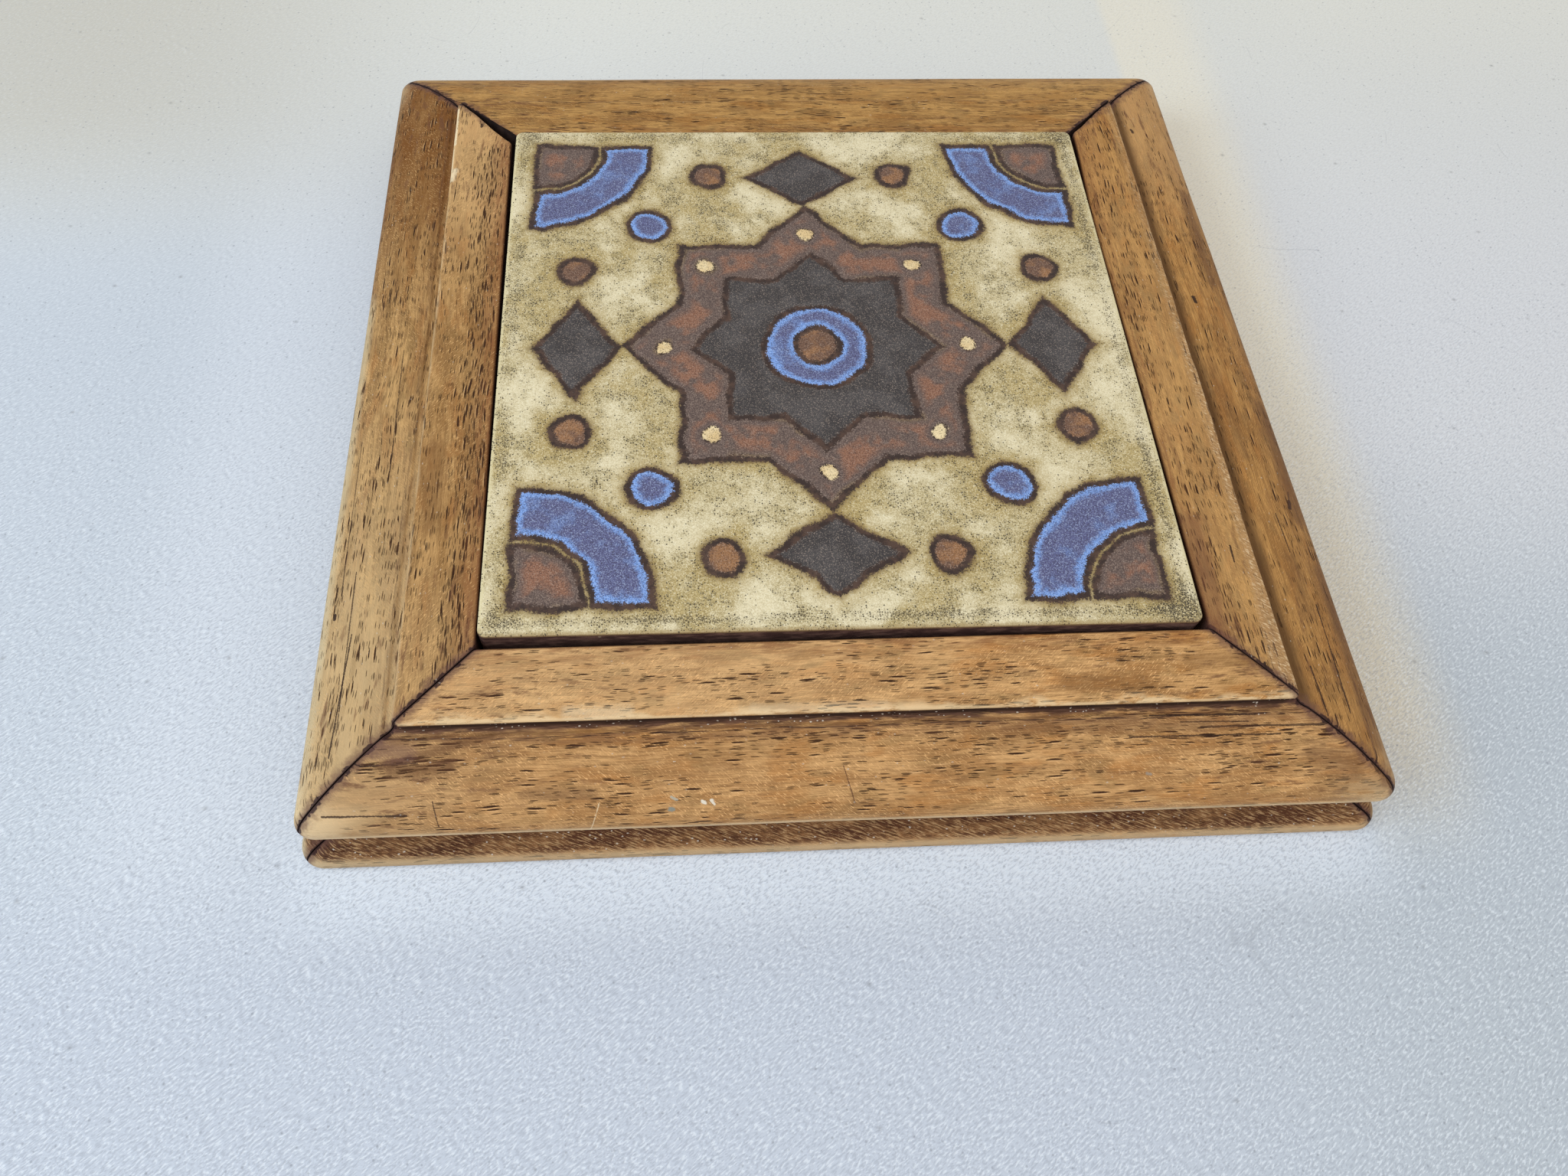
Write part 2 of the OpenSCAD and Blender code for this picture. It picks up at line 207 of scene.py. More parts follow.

# %% [markdown]
# ## Table and light
#
# The trivet stands on a pale painted table near a window on the left. The window is cool and the room's own
# light is warm, so the soft shadow on the right is a little yellow. One big lamp on the left stands for the
# window, a larger one high in front for the ceiling that it lights, and the world for the rest of the room.
# Lamps and world are kept at the level at which a colour renders about as it is written. The table's own
# colour also carries painted light and shade: cooler on the left, paler and warmer at the back, painted
# shade towards the front and in the back left corner, a painted pool of light just before the foot, and a
# painted warm shadow beside the right rail.

# %% Table
def painted_table():
    paint = Paint("painted_table")
    mm, x, y, z = paint.position()
    bend = paint.cloud(mm, (12, 12), detail=1) * 5
    turned = paint.vector(x * 0.8 + y * 0.6 + bend, y * 0.8 - x * 0.6)
    dents = paint.cloud(turned, (1.15, 0.40), detail=1, roughness=0.6)
    brush = paint.cloud(mm, (3.5, 1.4), detail=3, roughness=0.6)
    broad = paint.cloud(mm, (220, 160), detail=1)
    # The table is one plain paint. These first layers paint its light and shade into the colour: cooler on the left,
    # paler and warmer at the back, painted shade in the back left corner, towards the front and at the front right,
    # and a painted pool of light in a strip just before the foot.
    paint.colour = paint.mix(x.rise(-135, 190), (0.625, 0.685, 0.800), (0.67, 0.695, 0.765))
    paint.lay(x.rise(-140, -172), (0.560, 0.625, 0.735))
    paint.lay(y.rise(20, 200), (0.755, 0.765, 0.74))
    paint.lay(x.rise(-60, -220) * y.rise(50, 130), (0.58, 0.57, 0.53))
    paint.lay(y.rise(-100, -140) * 0.95, (0.530, 0.590, 0.715))
    paint.lay(x.rise(30, 130) * y.rise(0, -90), (0.49, 0.55, 0.635))
    paint.lay(y.near(-112, 20) * abs(x).rise(124, 100), (0.75, 0.83, 0.97))
    # Painted warm shadow on the table beside the right rail, where the trivet keeps the window's light off it.
    beside = x.rise(111, 115) * (x - y * 0.02).rise(147, 129) * y.rise(-125, -80)
    paint.lay(beside * 0.9, paint.mix(y.rise(-70, 60), (0.73, 0.68, 0.57), (0.82, 0.79, 0.70)))
    paint.lay(broad.rise(0.35, 0.65) * 0.10, (0.50, 0.55, 0.63))
    fading = y.rise(120, -100) * 0.65 + 0.35
    paint.lay(dents.rise(0.53, 0.61) * 0.42 * fading, (0.36, 0.40, 0.49))
    paint.lay(dents.rise(0.44, 0.36) * 0.50 * fading, (0.80, 0.87, 0.98))

    # Use has left small dark grains in the paint, a few larger crumbs, and hairline scratches that bend.
    ragged = (dents - 0.5) * 0.06
    grains = paint.dashes(mm, (2.9, 2.9), 0.32, 0.055, ragged)
    flecks = paint.dashes(mm, (17, 14), 0.12, 0.010, ragged * 0.2)
    broken = paint.cloud(mm, (17, 17)).rise(0.54, 0.58)
    hairlines = paint.cloud(mm, (60, 80), detail=0).near(0.46, 0.0016) * broken
    paint.lay(grains * 0.45, (0.20, 0.22, 0.27))
    paint.lay(hairlines * 0.22, (0.25, 0.27, 0.32))
    paint.lay(flecks * 0.65, (0.14, 0.14, 0.15))
    return paint.finish((dents * 0.15 + brush * 0.12) * fading + broad * 0.5, Roughness=0.5 + brush * 0.1)

# %% The table's top
TABLE_HALF = 4.0


def placed(name, bm):
    """Puts what bmesh holds into the scene as an object, in metres."""
    mesh = bpy.data.meshes.new(name)
    bm.to_mesh(mesh)
    bm.free()
    made = bpy.data.objects.new(name, mesh)
    scene.collection.objects.link(made)
    return made


bm = bmesh.new()
bmesh.ops.create_grid(bm, x_segments=2, y_segments=2, size=TABLE_HALF)
table = placed("table", bm)
table.data.materials.append(painted_table())
print("table:", 2 * TABLE_HALF, "m square,", len(table.data.materials[0].node_tree.nodes), "nodes")

# %% Light
ROOM_STRENGTH = 0.76


def lamp(name, place, target, size, power, colour):
    """A square lamp, size m wide, at a place in m, turned to a target."""
    data = bpy.data.lights.new(name, "AREA")
    data.size = size
    data.energy = power
    data.color = colour
    made = bpy.data.objects.new(name, data)
    made.location = Vector(place)
    made.rotation_euler = (Vector(target) - made.location).to_track_quat("-Z", "Y").to_euler()
    scene.collection.objects.link(made)


lamp("window", (-1.35, -0.42, 0.95), (0, 0, 0), 0.9, 13.5, (0.72, 0.88, 1.0))
lamp("room", (-0.1, -0.9, 1.7), (0, 0, 0), 1.5, 13.0, (1.0, 0.97, 0.92))

world = scene.world or bpy.data.worlds.new("room")
scene.world = world
world.use_nodes = True
room = Paint("room", world.node_tree)
path = room.node("LightPath")
seen = path.math("MAXIMUM", path.other("Is Glossy Ray")).math("MAXIMUM", path.other("Is Transmission Ray"))
backdrop = room.mix(seen, (0.76, 0.72, 0.64), (0.72, 0.73, 0.75))
background = world.node_tree.nodes["Background"]
world.node_tree.links.new(backdrop.socket, background.inputs["Color"])
background.inputs["Strength"].default_value = ROOM_STRENGTH
scene.view_settings.view_transform = "Standard"
print("lamps:", [data.name for data in bpy.data.lights], "and a room at", ROOM_STRENGTH)

# %% [markdown]
# ## The moulding
#
# Each rail has one section: a ledge for the board, a raised inner band, a small step with a hollow at its
# foot, a crowned outer band that ends in a round nose, a cove and a half-round foot. A pen draws it as a
# joiner's template is drawn, with straight runs and arcs, in millimetres. Its vertices are extruded along
# the rail, and the sharp rims that a hand has worn are bevelled.

# %% Sizes that repeat the CAD source
INNER, STEP, NOSE, FOOT = 76.0, 91.7, 110.6, 112.6
LEDGE_IN, LEDGE_TOP = 68.8, 12.4
LIP_TOP, BAND_EDGE_TOP, CROWN_TOP = 26.7, 25.9, 23.7
EDGE_R, QUIRK_R, QUIRK_DEPTH = 0.7, 1.1, 0.35
CROWN_R, CROWN_LEAD, NOSE_R, COVE_R, FOOT_R = 28.0, 2.2, 4.9, 4.3, 2.4
TILE_TOP = 28.4
MITRE_GAP = 0.3
NAIL_PLACES, NAIL_LEG, NAIL_T, NAIL_TOP, FIT_GAP = (78.8, 92.8), 5.0, 0.5, 10.0, 0.05
CLEAR_OF_MITRE = 0.8
FOOT_CORNER, STEP_CORNER, NOSE_CORNER = 5.0, 1.8, 2.2
WALK_START = LEDGE_IN + 1.5

lip_centre = (INNER + EDGE_R, LIP_TOP - EDGE_R)
edge_centre = (STEP - EDGE_R, BAND_EDGE_TOP - EDGE_R)
quirk_centre = (STEP + QUIRK_R, CROWN_TOP + QUIRK_R - QUIRK_DEPTH)
crown_centre = (STEP + CROWN_LEAD, CROWN_TOP - CROWN_R)
nose_s = NOSE - NOSE_R
nose_centre = (nose_s, crown_centre[1] + math.sqrt((CROWN_R - NOSE_R) ** 2 - (nose_s - crown_centre[0]) ** 2))
foot_centre = (FOOT - FOOT_R, FOOT_R)
cove_centre = (foot_centre[0], 2 * FOOT_R + COVE_R)
print("nose centre:", [round(c, 2) for c in nose_centre])


def meeting(first, first_r, second, second_r):
    """Where two circles cross, the crossing to the right of the line from first to second."""
    a, b = Vector(first), Vector(second)
    gap = (b - a).length
    along = (first_r ** 2 - second_r ** 2 + gap ** 2) / (2 * gap)
    aside = math.sqrt(first_r ** 2 - along ** 2)
    run = (b - a) / gap
    return a + along * run + aside * Vector((-run.y, run.x))


def bearing(centre, point):
    """The direction of a point from a centre, in degrees."""
    return math.degrees(math.atan2(point[1] - centre[1], point[0] - centre[0]))

# %% The pen
def only(kind, geometry):
    return [part for part in geometry if isinstance(part, kind)]


class Pen:
    """Draws a section in the XZ plane, one run after another."""

    def __init__(self, bm, start):
        self.bm = bm
        self.start = bmesh.ops.create_vert(bm, co=(start[0], 0, start[1]))["vert"][0]
        self.tip = self.start

    def straight(self, to, steps=1):
        """A straight run."""
        begin, end = self.tip.co.copy(), Vector((to[0], 0, to[1]))
        for step in range(1, steps + 1):
            self.tip = bmesh.ops.extrude_vert_indiv(self.bm, verts=[self.tip])["verts"][0]
            self.tip.co = begin.lerp(end, step / steps)

    def arc(self, centre, sweep, steps):
        """An arc about centre: sweep is in degrees, and below nought it turns clockwise."""
        turned = bmesh.ops.spin(
            self.bm, geom=[self.tip], cent=(centre[0], 0, centre[1]), axis=(0, 1, 0), dvec=(0, 0, 0),
            angle=-math.radians(sweep), steps=steps, use_merge=False)
        self.tip = only(BMVert, turned["geom_last"])[0]


def draw_section(bm):
    """Draws the closed section. Returns place and width of each rim that is bevelled later."""
    lean = math.atan2(LIP_TOP - BAND_EDGE_TOP, STEP - INNER - 2 * EDGE_R)
    rise = (EDGE_R * math.sin(lean), EDGE_R * math.cos(lean))
    hollow_end = meeting(quirk_centre, QUIRK_R, crown_centre, CROWN_R)
    rim = meeting(nose_centre, NOSE_R, cove_centre, COVE_R)
    touch = bearing(crown_centre, nose_centre)
    pen = Pen(bm, (LEDGE_IN, 0))
    pen.straight((LEDGE_IN, LEDGE_TOP), 2)
    pen.straight((INNER, LEDGE_TOP), 2)
    pen.straight((INNER, lip_centre[1]), 8)
    pen.arc(lip_centre, -90 - math.degrees(lean), 6)
    pen.straight((edge_centre[0] + rise[0], edge_centre[1] + rise[1]), 22)
    pen.arc(edge_centre, math.degrees(lean) - 90, 7)
    pen.straight((STEP, quirk_centre[1]), 2)
    pen.arc(quirk_centre, bearing(quirk_centre, hollow_end) + 180, 6)
    pen.arc(crown_centre, touch - bearing(crown_centre, hollow_end), 22)
    pen.arc(nose_centre, bearing(nose_centre, rim) - touch, 16)
    pen.arc(cove_centre, 270 - bearing(cove_centre, rim), 16)
    pen.arc(foot_centre, -180, 12)
    pen.straight((WALK_START, 0), 12)
    bm.edges.new((pen.tip, pen.start))
    return [(*rim, 0.5), (*hollow_end, 0.3), (LEDGE_IN, 0, 0.4), (LEDGE_IN, LEDGE_TOP, 0.3)]

# %% [markdown]
# ## From section to rail
#
# A rail could be swept along a closed square path, but four separate rails show four real mitres, each
# with its own gap. So every rail is extruded straight and longer than needed, is worn by moving its
# vertices, and is then cut at both mitres with a plane. Each vertex keeps its distance round the section
# in an attribute called across, which the wood's material reads so that its pores follow the surface.

# %% Extrude the section and measure round it
RAIL_STEPS = 300
RAIL_HALF = FOOT + 1
NEAR = 0.01


def soften(bm, edges, width, segments):
    bmesh.ops.bevel(
        bm, geom=edges, offset=width, segments=segments, profile=0.5, affect="EDGES", material=-1, clamp_overlap=True)


def straight_rail():
    """A blank rail in mm, with the distance round its section in every vertex, and the places on the section."""
    bm = bmesh.new()
    rims = draw_section(bm)
    for v in bm.verts:
        v.co.y = -RAIL_HALF
    far = only(BMVert, bmesh.ops.extrude_edge_only(bm, edges=bm.edges[:])["geom"])
    bmesh.ops.translate(bm, verts=far, vec=(0, 2 * RAIL_HALF, 0))
    for s, z, width in rims:
        soften(bm, [e for e in bm.edges if all(math.hypot(v.co.x - s, v.co.z - z) < NEAR for v in e.verts)], width, 3)
    across = bm.verts.layers.float.new("across")
    first = min((v for v in bm.verts if v.co.y < 0), key=lambda v: (v.co.z > NEAR, abs(v.co.x - WALK_START)))
    stations, here, came, run = {}, first, None, 0.0
    while True:
        here[across] = run
        stations[round(run, 3)] = (here.co.x, here.co.z)
        ahead_edges = [
            e for e in here.link_edges if abs(e.other_vert(here).co.y - here.co.y) < NEAR and e is not came]
        if came is None:
            ahead_edges.sort(key=lambda e: e.other_vert(here).co.x)
        came = ahead_edges[0]
        run += came.calc_length()
        here = came.other_vert(here)
        if here is first:
            break
    for e in bm.edges:
        low, high = sorted(e.verts, key=lambda v: v.co.y)
        if high.co.y - low.co.y > RAIL_HALF:
            high[across] = low[across]
    lengthwise = [e for e in bm.edges if abs(e.verts[0].co.y - e.verts[1].co.y) > RAIL_HALF]
    bmesh.ops.subdivide_edges(bm, edges=lengthwise, cuts=RAIL_STEPS - 1, use_grid_fill=False)
    return bm, stations


bm, stations = straight_rail()
print("blank rail:", len(bm.faces), "faces, distance round the section", round(max(stations), 1), "mm")
bm.free()


def station(s, z):
    """The distance round the section at which it passes closest to a place."""
    return min(stations, key=lambda run: math.hypot(stations[run][0] - s, stations[run][1] - z))


lip_run = station(INNER, LIP_TOP)
edge_run = station(STEP, BAND_EDGE_TOP)
riser_run = station(STEP, CROWN_TOP + 0.9)
hollow_run = station(STEP + 1.9, CROWN_TOP)
crown_run = station(STEP + 8, CROWN_TOP)
nose_run = station(NOSE, nose_centre[1])
rim_run = station(NOSE - 0.5, 13.4)
cove_run = station(cove_centre[0] - COVE_R, cove_centre[1])
bead_run = station(foot_centre[0], 2 * FOOT_R)
foot_run = station(FOOT, FOOT_R)
ground_run = station(foot_centre[0], 0)
print("round the section: lip at", round(lip_run, 1), "edge at", round(edge_run, 1), "ground at", round(ground_run, 1))

# %% [markdown]
# ## Wear
#
# Years of use have rounded the corners, thinned the step's edge unevenly and dented the nose. Sculpting
# would show this, but a rule per kind of wear can be read and repeated: each rule moves a vertex inwards
# by an amount that depends on where it is, with noise for the uneven parts.

# %% Rules of wear
def smooth(value, low, high):
    t = min(max((value - low) / (high - low), 0.0), 1.0)
    return t * t * (3 - 2 * t)


def ripple(y, length, seed):
    """Smooth noise from -1 to 1 along the rail."""
    return noise.noise(Vector((y / length, seed * 7.31, 0.5)))


def corner_radius(s, z):
    """How round use has made the rail's end, at a place of its section."""
    if z < cove_centre[1]:
        return FOOT_CORNER
    return STEP_CORNER * smooth(s, STEP - 5, STEP - 1) + NOSE_CORNER * smooth(s, STEP + 2, NOSE)


def worn(co, seed, edge_wear, edge_width):
    """The place of a vertex after wear: x points outwards and y along the rail."""
    s, y, z = co
    radius = corner_radius(s, z)
    past = abs(y) - (s - radius)
    if radius > 0 and past > 0:
        s -= radius - math.sqrt(max(radius ** 2 - min(past, radius) ** 2, 0))
    on_edge = smooth(co[2], BAND_EDGE_TOP - 1.6, BAND_EDGE_TOP - 0.5) * smooth(co[0], STEP - edge_width, STEP)
    amount = 0.75 + 0.45 * ripple(y, 19, seed) + 0.3 * ripple(y, 5, seed + 3)
    s -= 0.45 * edge_wear * on_edge * max(amount, 0)
    z -= edge_wear * on_edge * max(amount, 0)
    on_nose = smooth(co[0], NOSE - 7, NOSE) * smooth(co[2], 12, 14)
    s -= 0.22 * on_nose * (0.5 + 0.5 * ripple(y, 30, seed + 5))
    if co[2] > LEDGE_TOP + 1:
        z -= 0.07 * (0.5 + 0.5 * ripple(y + 3 * s, 24, seed + 7))
    return s, y, z


print("corner radius at the nose:", round(corner_radius(NOSE, nose_centre[1]), 1), "mm")

# %% [markdown]
# ## Mitres and nail slots
#
# A joiner cuts each end at 45 degrees and drives bent nails into slots under the joint. A Boolean modifier
# could do both, but it left open edges on a worn rail. A plane cuts an end cleanly and its cut is filled. A
# slot is sunk by cutting its outline into the underside and extruding the faces inside it.

# %% Mitres
MITRE_BEVEL = 0.16


def cut_mitre(bm, side):
    """Cuts one end along the diagonal and closes it."""
    normal = Vector((-1, side, 0)).normalized()
    spare = normal.copy() * (-MITRE_GAP / 2)
    geometry = bm.verts[:] + bm.edges[:] + bm.faces[:]
    cut = bmesh.ops.bisect_plane(bm, geom=geometry, dist=1e-5, plane_co=spare, plane_no=normal, clear_outer=True)
    edges = only(BMEdge, cut["geom_cut"])
    for f in bmesh.ops.edgeloop_fill(bm, edges=edges)["faces"]:
        f.material_index = 1
    soften(bm, edges, MITRE_BEVEL, 1)

# %% Nail slots
SLOT_MARGIN = 4


def under(face, low, high, margin):
    """Whether a face lies in the flat underside, within a margin of a rectangle."""
    if any(v.co.z > 0.001 for v in face.verts):
        return False
    x, y, _ = face.calc_center_median()
    return low.x - margin < x < high.x + margin and low.y - margin < y < high.y + margin


def cut_slots(bm):
    """Sinks the slots that take the legs of the mitre nails into the flat underside."""
    half = NAIL_T / 2 + FIT_GAP
    for side in (1, -1):
        for out in NAIL_PLACES:
            low = Vector((out + CLEAR_OF_MITRE, side * out - half, 0))
            high = Vector((out + NAIL_LEG + half, side * out + half, 0))
            for place, normal in ((low, (-1, 0, 0)), (high, (1, 0, 0)), (low, (0, -1, 0)), (high, (0, 1, 0))):
                around = [f for f in bm.faces if under(f, low, high, SLOT_MARGIN)]
                parts = list(dict.fromkeys(part for f in around for part in (*f.verts, *f.edges)))
                bmesh.ops.bisect_plane(bm, geom=around + parts, dist=1e-5, plane_co=place, plane_no=normal)
            floor = [f for f in bm.faces if under(f, low, high, 0)]
            lifted = only(BMVert, bmesh.ops.extrude_face_region(bm, geom=floor)["geom"])
            bmesh.ops.delete(bm, geom=[f for f in floor if f.is_valid], context="FACES")
            bmesh.ops.translate(bm, verts=lifted, vec=(0, 0, NAIL_TOP + FIT_GAP))
            for v in lifted:
                for f in v.link_faces:
                    f.material_index = 1

# %% [markdown] ## Building a rail  Old mitres open beside the tile, where the wood has shrunk. The rail's
# end is pulled back there by a rule of its own, after the cut. One function then builds every rail: blank,
# wear, mitres, slots, opening.

# %% Open mitres
OPENING_DEPTH = 6


def opened(co, side, opening):
    """Pulls the inner band's end back where its mitre has opened beside the tile."""
    s, y, z = co
    behind = s * side - y
    depth = abs(behind) / math.sqrt(2)
    if z < LEDGE_TOP + 0.3 or s > STEP or depth > OPENING_DEPTH:
        return y
    share = ((STEP - s) / (STEP - INNER)) ** 1.2 * (1 + 0.35 * ripple(s, 2.6, opening))
    return y - side * opening * math.sqrt(2) * share * (1 - smooth(depth, 0.3, OPENING_DEPTH))

# %% Build the rails
SHARP_ANGLE = 38
LIP_REACH, LIP_RUN = 3, 36


def into_place(bm, turn, shift=(0, 0, 0)):
    """Turns and shifts what was built in mm, and makes it metres."""
    bmesh.ops.rotate(bm, verts=bm.verts, cent=(0, 0, 0), matrix=Matrix.Rotation(turn, 3, "Z"))
    bmesh.ops.translate(bm, verts=bm.verts, vec=shift)
    bmesh.ops.scale(bm, verts=bm.verts, vec=(MM, MM, MM))
    bmesh.ops.recalc_face_normals(bm, faces=bm.faces)


def make_rail(name, node, turn, seed, edge_wear, edge_width, far_opening=0.0, near_opening=0.0, lip_wear=0.0):
    bm, _ = straight_rail()
    for v in bm.verts:
        s, y, z = worn(v.co, seed, edge_wear, edge_width)
        if lip_wear and s < INNER + LIP_REACH and z > LEDGE_TOP + 0.2:
            near_lip = 1 - smooth(s, INNER, INNER + LIP_REACH)
            s += lip_wear * near_lip * smooth(y, INNER - LIP_RUN, INNER)
        v.co = (s, y, z)
    for side in (1, -1):
        cut_mitre(bm, side)
    cut_slots(bm)
    for side, opening in ((1, far_opening), (-1, near_opening)):
        if opening:
            for v in bm.verts:
                if v.co.y * side > 0:
                    v.co.y = opened(v.co, side, opening)
    for f in bm.faces:
        f.smooth = True
    bm.normal_update()
    for e in bm.edges:
        if len(e.link_faces) == 2 and e.calc_face_angle() > math.radians(SHARP_ANGLE):
            e.smooth = False
    into_place(bm, math.radians(turn))
    if bm.calc_volume(signed=True) < 0:
        bmesh.ops.reverse_faces(bm, faces=bm.faces)
    open_edges = sum(1 for e in bm.edges if len(e.link_faces) != 2)
    volume = bm.calc_volume(signed=True) / MM ** 3
    made = placed(name, bm)
    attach(made, "root")
    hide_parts(node)
    print(name, len(made.data.polygons), "faces,", open_edges, "open edges,", round(volume), "cubic mm")
    return made


front = make_rail("front_rail_worn", "front_rail", -90, 1, 0.22, 1.6)
right_side = make_rail("right_rail_worn", "right_rail", 0, 2, 0.55, 4.2, far_opening=1.0, lip_wear=1.2)
back = make_rail("back_rail_worn", "back_rail", 90, 3, 0.18, 1.6, far_opening=1.1)
left_side = make_rail("left_rail_worn", "left_rail", 180, 4, 0.25, 1.8, near_opening=2.3)

# %% [markdown]
# ## Open-pored wood
#
# The wood is a honey-brown hardwood whose pores are cut open as short dark dashes along the grain. A
# picture of such wood could be wrapped round the rails, but it would show one board four times and break at
# the step. So the colour is laid in layers, as on the real rail: mottle, fibres, flakes, pores, and what use
# has done to it. Every layer reads the distance along the rail and, from across, round its section.

# %% The wood of one rail
def shade(colour, times, plus=0.0):
    """A lighter or darker kind of a colour."""
    return [min(c * times + plus, 1) for c in colour]


class Wood(Paint):
    """The paint of one rail. What a rail doesn't choose for itself keeps the values below."""

    pore_amount, flaked, groove, strip, foot = 1.0, (1.0, 0.6), 0.0, 0.0, (0.515, 0.390, 0.243)
    tints, rows, marks = (), (), ()

    def __init__(self, name, along_x, **choices):
        super().__init__(name)
        vars(self).update(choices)
        self.mm, self.x, self.y, self.z = self.position()
        self.along, self.out = (self.x, abs(self.y)) if along_x else (self.y, abs(self.x))
        self.across = self.node("Attribute", {"attribute_name": "across"}, out="Fac")
        self.outer = self.across.rise(edge_run + 0.8, edge_run + 1.2)
        self.at_edge = self.across.rise(edge_run + 0.9, edge_run + 0.4)
        self.mitre = abs(abs(self.x) - abs(self.y)) * 0.7071
        self.sway = self.cloud(self.vector(self.along, self.seed * 9.7), (26, 5), detail=1)
        self.laid = self.across + self.sway * 2.2 + self.along * 0.012
        self.grain = self.vector(self.along + self.seed * 131, self.laid, self.seed * 5.0)
        self.uneven = self.cloud(self.grain, (7, 1.1), detail=3, roughness=0.6)
        self.grit = self.cloud(self.mm, 0.35)
        self.ragged = (self.cloud(self.grain, (0.7, 0.15), roughness=0.7) - 0.5) * 0.22

# %% [markdown]
# ### Figure and flakes
#
# Growth gives a board its figure: light and dark bands, warmer and greener patches, and fibres. The sander
# left short slanting flakes that catch the light, and they lean one way on the inner band and the other way
# outside it. The light they catch is painted into the colour as pale strokes, a painted highlight, with dark
# strokes beside them as painted shade. Both are stretched noise, far along the grain or turned aside from
# it, and cost no geometry.

# %% Figure and flakes
def lay_figure(w):
    w.mottle = w.cloud(w.grain, (18, 5.0), detail=3, roughness=0.6)
    patches = w.cloud(w.vector(w.along + 500, w.laid, w.seed), (13, 4.5))
    olive = w.cloud(w.vector(w.along - 500, w.laid, w.seed), (8, 3.4)).rise(0.54, 0.66)
    w.streaks = w.cloud(w.grain, (14, 0.8), roughness=0.6)
    w.lines = w.cloud(w.grain, (11, 0.36), roughness=0.6)
    w.fibre = w.cloud(w.grain, (3.2, 0.20), detail=3, roughness=0.7)
    w.colour = w.mix(w.mottle.rise(0.38, 0.58), w.dark, w.light)
    w.lay(patches.rise(0.50, 0.64) * 0.7, w.warm)
    w.lay(olive * 0.50, (0.26, 0.155, 0.058))
    w.lay(w.streaks.rise(0.50, 0.60) * 0.42, shade(w.dark, 0.60))
    w.lay(w.lines.rise(0.51, 0.63) * (w.outer * 0.25 + 0.20), shade(w.dark, 0.50))
    w.lay(w.fibre.rise(0.50, 0.60) * 0.46, shade(w.dark, 0.48))
    w.lay(w.fibre.rise(0.46, 0.38) * 0.36, shade(w.light, 1.3))
    for low, high, from_run, to_run, tint, amount in w.tints:
        here = w.along.rise(low, high) * w.across.rise(from_run, to_run) * w.across.rise(ground_run + 3, ground_run)
        w.lay(here * (patches + 0.5) * amount, tint)


def lay_flakes(w):
    inside, outside = w.flaked
    lean = w.outer * 1.3 - 0.65
    slant = w.vector(w.along * 0.76 + w.across * lean, w.across * 0.76 - w.along * lean, w.seed)
    chatter = w.cloud(slant, (1.2, 0.24), roughness=0.6)
    flaky = w.cloud(w.grain, (22, 7), detail=1).rise(0.36, 0.58) * 0.75 + 0.25
    flaky = flaky * (w.outer * (outside - inside) + inside)
    w.flakes = chatter.rise(0.57, 0.64) * flaky
    # Pale strokes: painted highlight where the flakes catch the light. Dark strokes: painted shade beside them.
    w.lay(w.flakes * 0.72, shade(w.light, 1.40, 0.03))
    w.lay(chatter.rise(0.44, 0.37) * flaky * 0.45, shade(w.dark, 0.56))

# %% [markdown]
# ### Pores
#
# A pore is a vessel that the cutter opened lengthwise. Pores crowd together in loose rows and leave other
# places bare. Scattered cells give one dash each, and a noise and the rail's own rows decide how many of the
# cells hold one. A row is a stretch along the rail, a place round it, half its width, and what it adds.

# %% Pores
PORE_CELL, BOLD_CELL, THIN_CELL = (8.0, 0.86), (8.0, 1.05), (3.6, 0.36)


def lay_pores(w):
    crowd = (w.cloud(w.grain, (30, 1.9), detail=1) + w.cloud(w.grain, (18, 7), detail=1) - 1.0) * 2.0
    in_rows = crowd * 0
    for start, end, place, half, more in w.rows:
        length = abs(end - start) / 2
        stretch = abs(w.along - (start + end) / 2).rise(length + 6, length - 12)
        in_rows = in_rows + w.across.near(place, half) * stretch * more
    along = w.along + w.seed * 57
    place = w.vector(along, w.laid)
    chance = crowd + in_rows + 0.09 * w.pore_amount
    thick = w.dashes(place, PORE_CELL, chance, 0.145, w.ragged)
    # A pale copy of each pore dash, shifted a little across the grain: a painted highlight on the pore's lit rim.
    painted_pore_highlight = w.dashes(w.vector(along, w.laid - 0.30), PORE_CELL, chance, 0.14, w.ragged)
    bold = w.dashes(place, BOLD_CELL, in_rows - 0.12, 0.15, w.ragged)
    thin = w.dashes(place, THIN_CELL, crowd * 0.7 + in_rows + 0.22 * w.pore_amount, 0.18, w.ragged)
    w.pores = thick.math("MAXIMUM", thin * 0.75).math("MAXIMUM", bold)
    w.lay((crowd + in_rows).rise(0.1, 0.7) * 0.30, shade(w.dark, 0.68))
    # Painted highlight beside the pores.
    w.lay(painted_pore_highlight * 0.35, shade(w.light, 1.3, 0.06))
    w.lay(w.pores * 0.98, (0.036, 0.012, 0.005))

# %% [markdown]
# ### Stains and worn edges
#
# Dark stains have soaked in, mostly near the mitres. Where hands and cloths have rubbed, the finish is gone
# and the bare wood is pale: on the step's edge, on the nose's lower rim and on the corners. One rail has a
# dull, pinkish strip beside its edge, with short pale flecks across it.

